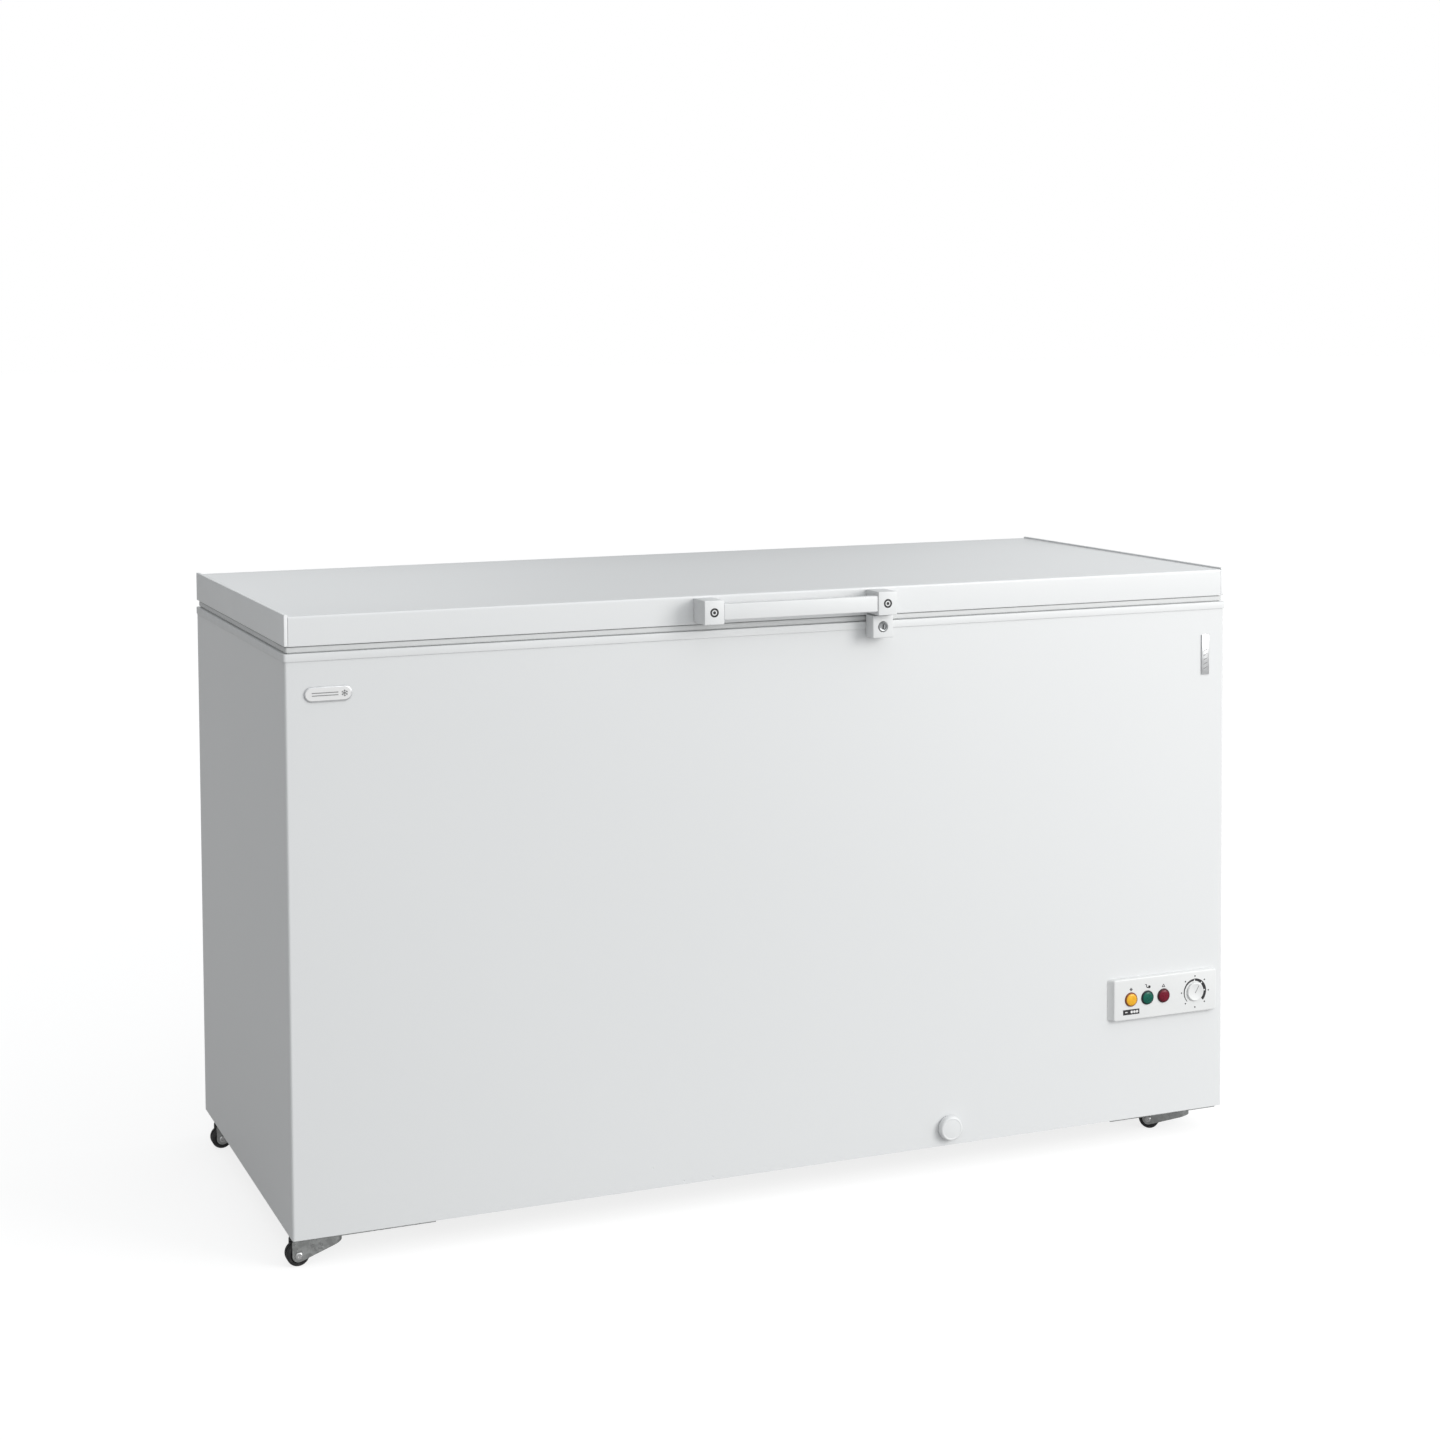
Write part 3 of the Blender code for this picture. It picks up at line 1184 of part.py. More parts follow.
def make_caster(name, side_x, side_y, trail_deg):
    """Fork, wheel and axle round a swivel axis; local +X is where the wheel trails."""
    x, y = caster_place(side_x, side_y)
    swivel = empty(f"{name}_swivel", (x, y, 0.0), trail_deg)
    half = fork_half()
    top = Z0 - 2 * GAP - RAIL_T
    nose = TRAIL + FORK_NOSE

    cheek_low = top - FORK_HEAD_H
    lean = math.degrees(math.atan2(cheek_low - (WHEEL_R - FORK_NOSE), TRAIL + half))
    side_points = [(-half - FORK_SIDE, top), (nose, top)]
    side_points += arc((TRAIL, WHEEL_R), FORK_NOSE, 0, -90 - lean, 6)
    side_points += [(-half - FORK_SIDE, cheek_low)]
    fork = outline(f"caster_{name}_fork", side_points, 2 * half, upright(0.0), ZINC)

    end = nose + THROUGH
    plan = arc((0.0, 0.0), half, 90, 270, 10) + [(end, -half), (end, half)]
    plan_solid = outline(f"{name}_plan", plan, 4 * CASTER_H, Matrix.Identity(4), None)
    inner = half - FORK_T
    end += THROUGH
    room = arc((0.0, 0.0), inner, 90, 270, 10) + [(end, -inner), (end, inner)]
    inside = outline(f"{name}_inside", room, 2 * CASTER_H,
                     Matrix.Translation((0.0, 0.0, top - FORK_T - CASTER_H)), None)
    bore = cylinder(f"{name}_axle_hole", AXLE_R + GAP, 4 * half, (TRAIL, -2 * half, WHEEL_R), (0, 1, 0), None,
                    ROUND_SMALL)
    hole = cylinder(f"{name}_stud_hole", STUD_R + GAP, 2 * THROUGH, (0.0, 0.0, top - THROUGH), (0, 0, 1),
                    None, ROUND_SMALL)
    mouth_x = TRAIL - WHEEL_R * CROWN_MOUTH
    mouth = box(f"{name}_mouth", (mouth_x, -inner, WHEEL_R), (end, inner, top + THROUGH), None)
    boolean(fork, plan_solid, "INTERSECT")
    cut(fork, inside, mouth, bore, hole)

    radius, width, groove = WHEEL_R, WHEEL_W / 2, WHEEL_GROOVE / 2
    bore_r = AXLE_R + GAP
    wheel = turned(f"caster_{name}_wheel", [
        (bore_r, width),
        (radius - WHEEL_EDGE, width),
        (radius, width - WHEEL_EDGE),
        (radius, groove),
        (WHEEL_HUB_R, groove),
        (WHEEL_HUB_R, -groove),
        (radius, -groove),
        (radius, -width + WHEEL_EDGE),
        (radius - WHEEL_EDGE, -width),
        (bore_r, -width),
    ], (TRAIL, 0.0, WHEEL_R), (0, 1, 0), BLACK_RUBBER, WHEEL_SIDES, closed=True)
    neck = half + GAP
    head = neck + AXLE_HEAD_T
    axle = turned(f"caster_{name}_axle", [
        (0.0, head),
        (AXLE_HEAD_R * 0.7, head),
        (AXLE_HEAD_R, neck),
        (AXLE_R, neck),
        (AXLE_R, -neck),
        (AXLE_HEAD_R, -neck),
        (AXLE_HEAD_R * 0.7, -head),
        (0.0, -head),
    ], (TRAIL, 0.0, WHEEL_R), (0, 1, 0), ZINC, ROUND_SMALL)
    for piece in (fork, wheel, axle, plan_solid, inside, mouth, bore, hole):
        piece.parent = swivel


# ---------------------------------------------------------------- the whole freezer
def build():
    make_wrap()
    make_back_panel()
    make_base_pan()
    make_liner()
    make_foam()
    make_machine_panel()
    make_collar()
    make_drain()
    make_cooling()
    make_compressor()
    make_rear_fittings()
    make_controls()
    make_badge()
    make_emblem()
    for side, name in ((-1, "left"), (1, "right")):
        make_rail(name, side)
    for name, (side_x, side_y, trail_deg) in CASTERS.items():
        make_caster(name, side_x, side_y, trail_deg)

    lid_pivot = empty("lid_pivot", HINGE_AXIS)
    lid = make_lid() + make_handle()
    make_lock()
    for side, name in ((-1, "left"), (1, "right")):
        lid.append(make_hinge(name, side * HINGE_X))
    hang_on(lid_pivot, *lid)


build()
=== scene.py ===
"""Looks of the chest freezer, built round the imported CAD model."""

import json
import math

import bmesh
import bpy
from mathutils import Matrix, Vector


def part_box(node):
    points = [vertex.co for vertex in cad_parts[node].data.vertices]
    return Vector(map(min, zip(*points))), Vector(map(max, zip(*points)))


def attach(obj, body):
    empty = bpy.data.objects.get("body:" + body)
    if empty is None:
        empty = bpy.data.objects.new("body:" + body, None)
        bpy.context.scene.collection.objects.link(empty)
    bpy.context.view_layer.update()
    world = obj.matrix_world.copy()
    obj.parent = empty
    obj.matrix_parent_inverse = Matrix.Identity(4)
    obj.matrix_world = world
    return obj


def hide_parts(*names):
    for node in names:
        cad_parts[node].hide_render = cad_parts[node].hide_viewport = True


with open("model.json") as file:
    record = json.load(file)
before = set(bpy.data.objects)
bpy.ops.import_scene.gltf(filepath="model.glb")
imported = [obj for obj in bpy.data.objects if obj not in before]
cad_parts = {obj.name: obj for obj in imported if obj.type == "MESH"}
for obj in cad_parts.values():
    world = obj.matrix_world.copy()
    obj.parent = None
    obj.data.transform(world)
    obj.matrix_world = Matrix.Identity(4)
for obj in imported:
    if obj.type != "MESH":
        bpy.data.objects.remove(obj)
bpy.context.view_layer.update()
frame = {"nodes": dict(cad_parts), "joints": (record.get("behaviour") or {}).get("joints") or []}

GAP = 0.0003         # clearance kept between two pieces

# ---------------------------------------------------------------- node materials


class Shade:
    """Builds one procedural material on a Principled shader."""

    def __init__(self, name, roughness, metallic=0.0, coat=0.0, coat_roughness=0.1, ior=1.5):
        self.material = bpy.data.materials.new(name)
        self.material.use_nodes = True
        self.tree = self.material.node_tree
        self.shader = self.tree.nodes["Principled BSDF"]
        self.shader.inputs["Roughness"].default_value = roughness
        self.shader.inputs["Metallic"].default_value = metallic
        self.shader.inputs["Coat Weight"].default_value = coat
        self.shader.inputs["Coat Roughness"].default_value = coat_roughness
        self.shader.inputs["IOR"].default_value = ior
        self.place = self.node("ShaderNodeTexCoord").outputs["Object"]
        self.normal = None

    def node(self, kind, **settings):
        made = self.tree.nodes.new(kind)
        for key, value in settings.items():
            setattr(made, key, value)
        return made

    def link(self, source, target):
        self.tree.links.new(source, target)

    def noise(self, scale, detail=2.0, stretch=None):
        made = self.node("ShaderNodeTexNoise")
        made.inputs["Scale"].default_value = scale
        made.inputs["Detail"].default_value = detail
        place = self.place
        if stretch:
            mapping = self.node("ShaderNodeMapping")
            mapping.inputs["Scale"].default_value = stretch
            self.link(place, mapping.inputs["Vector"])
            place = mapping.outputs["Vector"]
        self.link(place, made.inputs["Vector"])
        return made.outputs["Fac"]

    def cells(self, scale, feature="F1", output="Color"):
        made = self.node("ShaderNodeTexVoronoi", feature=feature)
        made.inputs["Scale"].default_value = scale
        self.link(self.place, made.inputs["Vector"])
        return made.outputs[output]

    def ranged(self, source, low, high, start=0.3, end=0.7):
        made = self.node("ShaderNodeMapRange")
        made.inputs["From Min"].default_value = start
        made.inputs["From Max"].default_value = end
        made.inputs["To Min"].default_value = low
        made.inputs["To Max"].default_value = high
        self.link(source, made.inputs["Value"])
        return made.outputs["Result"]

    def blend(self, factor, first, second):
        made = self.node("ShaderNodeMix", data_type="RGBA")
        self.link(factor, made.inputs["Factor"])
        for socket, colour in ((made.inputs[6], first), (made.inputs[7], second)):
            if isinstance(colour, tuple):
                socket.default_value = (*colour, 1.0)
            else:
                self.link(colour, socket)
        return made.outputs[2]

    def paint(self, colour):
        self.link(colour, self.shader.inputs["Base Color"])

    def rough(self, source, low, high, start=0.3, end=0.7):
        self.link(self.ranged(source, low, high, start, end), self.shader.inputs["Roughness"])

    def bump(self, height, strength, distance):
        made = self.node("ShaderNodeBump")
        made.inputs["Strength"].default_value = strength
        made.inputs["Distance"].default_value = distance
        self.link(height, made.inputs["Height"])
        if self.normal is not None:
            self.link(self.normal, made.inputs["Normal"])
        self.normal = made.outputs["Normal"]
        self.link(self.normal, self.shader.inputs["Normal"])


def tone(colour, factor):
    return tuple(min(1.0, part * factor) for part in colour)


def painted_steel(name, colour, roughness=0.33, wave=0.10):
    """Powder-coated sheet: orange peel, faint oil-canning and slightly uneven gloss."""
    shade = Shade(name, roughness, coat=0.25, coat_roughness=0.14)
    broad = shade.noise(1.4, 1.0)
    shade.paint(shade.blend(shade.ranged(broad, 0.0, 1.0, 0.2, 0.8), tone(colour, 0.99), colour))
    shade.rough(shade.noise(2.5, 1.0), roughness - 0.02, roughness + 0.02, 0.2, 0.8)
    shade.bump(broad, wave, 0.0008)
    shade.bump(shade.noise(900.0, 1.0), 0.12, 0.00005)
    return shade.material


def moulded_plastic(name, colour, roughness=0.42, grain=1600.0, depth=0.00004, strength=0.35):
    """Moulded ABS: a very fine spark-eroded grain and slight flow marks."""
    shade = Shade(name, roughness)
    flow = shade.noise(9.0, 3.0, (1.0, 1.0, 2.5))
    shade.paint(shade.blend(shade.ranged(flow, 0.0, 1.0), tone(colour, 0.97), colour))
    shade.rough(shade.noise(60.0, 3.0), roughness - 0.05, roughness + 0.06)
    shade.bump(shade.noise(grain, 2.0), strength, depth)
    return shade.material


def zinc_plate(name, colour, roughness=0.36):
    """Galvanised sheet: spangles of different brightness, fine rolling lines and dull patches."""
    shade = Shade(name, roughness, metallic=1.0)
    split = shade.node("ShaderNodeSeparateColor")
    shade.link(shade.cells(260.0), split.inputs["Color"])
    spangle = split.outputs["Red"]
    dull = shade.noise(45.0, 4.0)
    mixed = shade.blend(shade.ranged(spangle, 0.0, 1.0, 0.0, 1.0), tone(colour, 0.78), colour)
    shade.paint(shade.blend(shade.ranged(dull, 0.0, 0.45, 0.45, 0.75), mixed, tone(colour, 0.55)))
    shade.rough(spangle, roughness - 0.10, roughness + 0.14, 0.0, 1.0)
    shade.bump(shade.noise(700.0, 2.0, (1.0, 6.0, 6.0)), 0.2, 0.00005)
    return shade.material


def machined_metal(name, colour, roughness):
    """Turned or drawn bright metal with fine tool lines."""
    shade = Shade(name, roughness, metallic=1.0)
    lines = shade.noise(1500.0, 2.0, (1.0, 0.15, 1.0))
    shade.paint(shade.blend(shade.ranged(shade.noise(120.0), 0.0, 1.0), tone(colour, 0.8), colour))
    shade.rough(lines, roughness - 0.06, roughness + 0.10)
    shade.bump(lines, 0.15, 0.00003)
    return shade.material


def soft_rubber(name, colour, roughness, dusty=1.35, grain=900.0):
    shade = Shade(name, roughness)
    dust = shade.noise(70.0, 5.0)
    shade.paint(shade.blend(shade.ranged(dust, 0.0, 1.0, 0.35, 0.75), colour, tone(colour, dusty)))
    shade.rough(dust, roughness - 0.08, min(0.95, roughness + 0.12))
    shade.bump(shade.noise(grain, 3.0), 0.3, 0.00008)
    return shade.material


def tyre_rubber(name):
    """Black tyre with a dusty tread."""
    shade = Shade(name, 0.5)
    dust = shade.noise(160.0, 5.0)
    shade.paint(shade.blend(shade.ranged(dust, 0.0, 0.5, 0.52, 0.75), (0.012, 0.012, 0.013), (0.075, 0.072, 0.068)))
    shade.rough(dust, 0.38, 0.62)
    shade.bump(shade.noise(1200.0, 2.0), 0.3, 0.00006)
    return shade.material


def lens_plastic(name, deep, bright, glow):
    """Tinted lens: tone varying at random between a deep and a bright colour, a glow in the bright colour that is
    painted light, moulded prisms behind the surface.
    """
    shade = Shade(name, 0.28, coat=0.1, coat_roughness=0.12)
    prisms = shade.cells(520.0, "F1", "Distance")
    shade.paint(shade.blend(shade.ranged(shade.noise(110.0, 1.0), 0.0, 1.0), deep, bright))
    shade.rough(shade.noise(300.0), 0.24, 0.34)
    shade.bump(prisms, 0.15, 0.0001)
    shade.shader.inputs["Specular IOR Level"].default_value = 0.3
    shade.shader.inputs["Subsurface Weight"].default_value = 0.25
    shade.shader.inputs["Subsurface Radius"].default_value = (0.004, 0.003, 0.002)
    shade.shader.inputs["Subsurface Scale"].default_value = 0.4
    # Emission in the bright colour: a painted glow on the lens.
    shade.shader.inputs["Emission Color"].default_value = (*bright, 1.0)
    shade.shader.inputs["Emission Strength"].default_value = glow
    return shade.material


def copper_tube(name):
    shade = Shade(name, 0.3, metallic=1.0)
    tarnish = shade.noise(35.0, 5.0)
    shade.paint(shade.blend(shade.ranged(tarnish, 0.0, 1.0), (0.80, 0.42, 0.27), (0.36, 0.18, 0.11)))
    shade.rough(tarnish, 0.22, 0.5)
    shade.bump(shade.noise(500.0), 0.15, 0.00005)
    return shade.material


def foam_core(name):
    shade = Shade(name, 0.9)
    shade.paint(shade.blend(shade.ranged(shade.noise(30.0, 4.0), 0.0, 1.0), (0.86, 0.74, 0.44), (0.70, 0.56, 0.28)))
    shade.bump(shade.cells(420.0, "F1", "Distance"), 0.8, 0.0006)
    return shade.material


def stucco_liner(name, colour):
    """Coated aluminium with a shallow stucco emboss."""
    shade = Shade(name, 0.34, coat=0.15, coat_roughness=0.2)
    shade.paint(shade.blend(shade.ranged(shade.noise(3.0), 0.0, 1.0), tone(colour, 0.97), colour))
    shade.rough(shade.noise(20.0, 3.0), 0.30, 0.42)
    shade.bump(shade.noise(240.0, 1.0), 0.35, 0.0004)
    return shade.material


WHITE = (0.712, 0.722, 0.728)
STEEL = painted_steel("painted_steel", WHITE)
PLASTIC = moulded_plastic("white_plastic", (0.725, 0.735, 0.74))
PANEL_PLASTIC = moulded_plastic("panel_plastic", (0.73, 0.738, 0.738), 0.38)
CAP_PLASTIC = moulded_plastic("cap_plastic", (0.83, 0.84, 0.845), 0.5)
LINER = stucco_liner("stucco_liner", (0.75, 0.76, 0.77))
GASKET = soft_rubber("gasket_vinyl", (0.62, 0.63, 0.63), 0.55, 1.04)
FOAM = foam_core("polyurethane_foam")
ZINC = zinc_plate("galvanised_steel", (0.44, 0.45, 0.445))
PLATED = machined_metal("plated_steel", (0.66, 0.66, 0.66), 0.28)
LOCK_METAL = machined_metal("lock_metal", (0.34, 0.35, 0.36), 0.30)
ENAMEL = painted_steel("black_enamel", (0.022, 0.022, 0.024), 0.32)
TYRE = tyre_rubber("caster_tyre")
PAD_RUBBER = soft_rubber("pad_rubber", (0.02, 0.02, 0.02), 0.7)
BLACK = moulded_plastic("black_plastic", (0.022, 0.022, 0.024), 0.45)
INK = moulded_plastic("printed_ink", (0.016, 0.016, 0.018), 0.5, 3000.0, 0.00001)
PALE_INK = moulded_plastic("pale_ink", (0.75, 0.75, 0.75), 0.5, 3000.0, 0.00001)
GREY_INK = moulded_plastic("grey_ink", (0.24, 0.24, 0.245), 0.5, 3000.0, 0.00001)
COPPER = copper_tube("copper")
SILVER = machined_metal("silver_foil", (0.72, 0.73, 0.74), 0.34)
# The yellow lens gets a faint painted glow.
YELLOW = lens_plastic("yellow_lens", (0.70, 0.36, 0.016), (0.80, 0.44, 0.03), 0.04)
GREEN = lens_plastic("green_lens", (0.0, 0.085, 0.058), (0.002, 0.118, 0.080), 0.0)
RED = lens_plastic("red_lens", (0.125, 0.0015, 0.013), (0.165, 0.002, 0.018), 0.0)
# The rims are darker copies of the lens colours: painted shade at the edge of each lens.
YELLOW_RIM_SHADE = moulded_plastic("yellow_rim_shade", (0.26, 0.07, 0.02), 0.45)
GREEN_RIM_SHADE = moulded_plastic("green_rim_shade", (0.003, 0.012, 0.016), 0.45)
RED_RIM_SHADE = moulded_plastic("red_rim_shade", (0.045, 0.003, 0.008), 0.45)

# ---------------------------------------------------------------- mesh helpers


def place_piece(name, bm, finish, body, replaced=(), angle=32.0):
    """Makes a shaded mesh object, puts it on its body and hides the CAD nodes it stands for."""
    bmesh.ops.remove_doubles(bm, verts=bm.verts, dist=0.000002)
    bmesh.ops.recalc_face_normals(bm, faces=bm.faces)
    mesh = bpy.data.meshes.new(name)
    bm.to_mesh(mesh)
    bm.free()
    mesh.shade_smooth()
    mesh.set_sharp_from_angle(angle=math.radians(angle))
    made = bpy.data.objects.new(name, mesh)
    bpy.context.scene.collection.objects.link(made)
    mesh.materials.append(finish)
    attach(made, body)
    if replaced:
        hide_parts(*replaced)
    return made


def cutter(bm):
    mesh = bpy.data.meshes.new("cutter")
    bmesh.ops.recalc_face_normals(bm, faces=bm.faces)
    bm.to_mesh(mesh)
    bm.free()
    made = bpy.data.objects.new("cutter", mesh)
    bpy.context.scene.collection.objects.link(made)
    return made


def carve(piece, cutters, angle=32.0):
    """Cuts shapes out of a piece and keeps the result as its mesh."""
    for tool in cutters:
        step = piece.modifiers.new("cut", "BOOLEAN")
        step.operation = "DIFFERENCE"
        step.solver = "EXACT"
        step.object = tool
    graph = bpy.context.evaluated_depsgraph_get()
    mesh = bpy.data.meshes.new_from_object(piece.evaluated_get(graph))
    piece.modifiers.clear()
    piece.data = mesh
    mesh.shade_smooth()
    mesh.set_sharp_from_angle(angle=math.radians(angle))
    for tool in cutters:
        bpy.data.objects.remove(tool, do_unlink=True)
    return piece


def add_box(bm, low, high):
    middle = (Vector(low) + Vector(high)) / 2
    size = Vector(high) - Vector(low)
    made = bmesh.ops.create_cube(bm, size=1.0, matrix=Matrix.Translation(middle) @ Matrix.Diagonal((*size, 1.0)))
    return made["verts"]


def round_edges(bm, verts, radius, segments=3, keep=None):
    edges = {edge for vert in verts for edge in vert.link_edges}
    if keep:
        edges = {edge for edge in edges if keep(edge)}
    bmesh.ops.bevel(bm, geom=list(edges), offset=radius, segments=segments, profile=0.5, affect="EDGES",
                    clamp_overlap=True)


def add_rounded_box(bm, low, high, radius, segments=3, keep=None):
    round_edges(bm, add_box(bm, low, high), radius, segments, keep)


def rounded_box(low, high, radius, segments=3, keep=None):
    bm = bmesh.new()
    add_rounded_box(bm, low, high, radius, segments, keep)
    return bm


def box_shape(low, high):
    bm = bmesh.new()
    add_box(bm, low, high)
    return bm


def ring_loop(rect, radius, grow, z, steps):
    """Points of a rounded rectangle (x0, x1, y0, y1) grown by grow."""
    x0, x1, y0, y1 = rect
    corner = max(radius + grow, 0.0004)
    inset = corner - grow
    points = []
    for cx, cy, start in ((x1 - inset, y1 - inset, 0), (x0 + inset, y1 - inset, 90),
                          (x0 + inset, y0 + inset, 180), (x1 - inset, y0 + inset, 270)):
        for step in range(steps + 1):
            angle = math.radians(start + 90 * step / steps)
            points.append((cx + corner * math.cos(angle), cy + corner * math.sin(angle), z))
    return points


def rect_sweep(rect, profile, radius, steps=6, closed=True):
    """Sweeps a profile of (outward offset, height) round a rounded rectangle; an open one gets two end faces."""
    bm = bmesh.new()
    rings = [[bm.verts.new(point) for point in ring_loop(rect, radius, grow, z, steps)] for grow, z in profile]
    pairs = list(zip(rings, rings[1:]))
    if closed:
        pairs.append((rings[-1], rings[0]))
    for first, second in pairs:
        count = len(first)
        for i in range(count):
            j = (i + 1) % count
            bm.faces.new((first[i], first[j], second[j], second[i]))
    if not closed:
        ends = [bm.faces.new(rings[0]), bm.faces.new(rings[-1])]
        bmesh.ops.inset_individual(bm, faces=ends, thickness=0.004)
    return bm


def soften(points, radius, steps=3):
    """Rounds the corners of a closed profile."""
    made = []
    count = len(points)
    for i in range(count):
        before, corner, after = Vector(points[i - 1]), Vector(points[i]), Vector(points[(i + 1) % count])
        reach = min(radius, (before - corner).length * 0.45, (after - corner).length * 0.45)
        first = corner + (before - corner).normalized() * reach
        last = corner + (after - corner).normalized() * reach
        for step in range(steps + 1):
            t = step / steps
            point = first * (1 - t) ** 2 + corner * 2 * t * (1 - t) + last * t ** 2
            made.append(tuple(point))
    return made


def soften_open(points, radius, steps=4):
    """Rounds the inner corners of an open line of points."""
    made = [tuple(points[0])]
    for i in range(1, len(points) - 1):
        before, corner, after = Vector(points[i - 1]), Vector(points[i]), Vector(points[i + 1])
        reach = min(radius, (before - corner).length * 0.48, (after - corner).length * 0.48)
        first = corner + (before - corner).normalized() * reach
        last = corner + (after - corner).normalized() * reach
        for step in range(steps + 1):
            t = step / steps
            made.append(tuple(first * (1 - t) ** 2 + corner * 2 * t * (1 - t) + last * t ** 2))
    made.append(tuple(points[-1]))
    return made


def add_lathe(bm, profile, start, axis, steps=48, closed=False):
    """Turns (radius, height) points round an axis."""
    turn = Vector((0.0, 0.0, 1.0)).rotation_difference(Vector(axis)).to_matrix().to_4x4()
    place = Matrix.Translation(Vector(start)) @ turn
    rings = []
    for radius, height in profile:
        if radius < 1e-7:
            rings.append([bm.verts.new(place @ Vector((0.0, 0.0, height)))])
            continue
        ring = []
        for step in range(steps):
            angle = 2 * math.pi * step / steps
            ring.append(bm.verts.new(place @ Vector((radius * math.cos(angle), radius * math.sin(angle), height))))
        rings.append(ring)
    pairs = list(zip(rings, rings[1:]))
    if closed:
        pairs.append((rings[-1], rings[0]))
    for first, second in pairs:
        for i in range(steps):
            j = (i + 1) % steps
            if len(first) == 1 and len(second) == 1:
                continue
            if len(first) == 1:
                bm.faces.new((first[0], second[j], second[i]))
            elif len(second) == 1:
                bm.faces.new((first[i], first[j], second[0]))
            else:
                bm.faces.new((first[i], first[j], second[j], second[i]))


def lathe(profile, start, axis, steps=48, closed=False):
    bm = bmesh.new()
    add_lathe(bm, profile, start, axis, steps, closed)
    return bm


def add_prism(bm, points, depth, place, bevel=0.0, segments=2):
    """A flat outline in local XY made thick along local Z, centred."""
    low = [bm.verts.new(place @ Vector((x, y, -depth / 2))) for x, y in points]
    high = [bm.verts.new(place @ Vector((x, y, depth / 2))) for x, y in points]
    faces = [bm.faces.new(low[::-1]), bm.faces.new(high)]
    count = len(points)
    for i in range(count):
        j = (i + 1) % count
        faces.append(bm.faces.new((low[i], low[j], high[j], high[i])))
    if bevel:
        edges = [edge for edge in faces[0].edges] + [edge for edge in faces[1].edges]
        bmesh.ops.bevel(bm, geom=edges, offset=bevel, segments=segments, profile=0.5, affect="EDGES",
                        clamp_overlap=True)


def prism(points, depth, place, bevel=0.0, segments=2):
    bm = bmesh.new()
    add_prism(bm, points, depth, place, bevel, segments)
    return bm


def facing(y):
    """Local XY becomes world XZ at this y, local +Z points to -Y."""
    return Matrix.Translation((0.0, y, 0.0)) @ Matrix.Rotation(math.radians(90), 4, "X")


def arc(cx, cy, radius, start, end, steps):
    points = []
    for step in range(steps + 1):
        angle = math.radians(start + (end - start) * step / steps)
        points.append((cx + radius * math.cos(angle), cy + radius * math.sin(angle)))
    return points


def add_sheet_path(bm, path, z0, z1, thickness, cap=True):
    """A folded sheet: an XY path with a thickness to its left, standing from z0 to z1."""
    count = len(path)
    inner = []
    for i in range(count):
        here = Vector(path[i])
        ahead = (Vector(path[min(i + 1, count - 1)]) - Vector(path[max(i - 1, 0)])).normalized()
        left = Vector((-ahead.y, ahead.x))
        inner.append(here + left * thickness)
    rows = []
    for x, y in path:
        rows.append((bm.verts.new((x, y, z0)), bm.verts.new((x, y, z1))))
    back = []
    for point in inner:
        back.append((bm.verts.new((point.x, point.y, z0)), bm.verts.new((point.x, point.y, z1))))
    for i in range(count - 1):
        bm.faces.new((rows[i][0], rows[i + 1][0], rows[i + 1][1], rows[i][1]))
        bm.faces.new((back[i + 1][0], back[i][0], back[i][1], back[i + 1][1]))
        bm.faces.new((rows[i][1], rows[i + 1][1], back[i + 1][1], back[i][1]))
        bm.faces.new((rows[i + 1][0], rows[i][0], back[i][0], back[i + 1][0]))
    if cap:
        bm.faces.new((rows[0][0], rows[0][1], back[0][1], back[0][0]))
        bm.faces.new((rows[-1][1], rows[-1][0], back[-1][0], back[-1][1]))


def add_section(bm, points, x0, x1):
    """A closed YZ section made long along X."""
    first = [bm.verts.new((x0, y, z)) for y, z in points]
    last = [bm.verts.new((x1, y, z)) for y, z in points]
    count = len(points)
    for i in range(count):
        j = (i + 1) % count
        bm.faces.new((first[i], first[j], last[j], last[i]))
    bm.faces.new(first[::-1])
    bm.faces.new(last)


def band(line, thickness):
    """A closed section that follows an open line with a thickness to its left."""
    count = len(line)
    inner = []
    for i in range(count):
        before = Vector(line[i]) - Vector(line[i - 1]) if i else None
        after = Vector(line[i + 1]) - Vector(line[i]) if i < count - 1 else None
        first = (before or after).normalized()
        second = (after or before).normalized()
        middle = (first + second).normalized()
        left = Vector((-middle.y, middle.x))
        stretch = 1.0 / max(0.4, middle.dot(first))
        inner.append(tuple(Vector(line[i]) + left * thickness * stretch))
    return [tuple(point) for point in line] + inner[::-1]


def recolour(finish, *nodes):
    for name in nodes:
        node = frame["nodes"][name]
        node.data.materials.clear()
        node.data.materials.append(finish)


def span(node):
    low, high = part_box(node)
    return low, high, (low + high) / 2


# ---------------------------------------------------------------- places read from the frame
WRAP_LO, WRAP_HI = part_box("cabinet_wrap")
COLLAR_LO, COLLAR_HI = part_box("top_collar")
SHELL_LO, SHELL_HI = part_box("lid_shell")
LINER_LO, LINER_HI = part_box("inner_liner")
BEZEL_LO, BEZEL_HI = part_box("control_bezel")
FRONT = WRAP_LO.y
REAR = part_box("back_panel")[1].y
SKIN = 0.001        # sheet metal


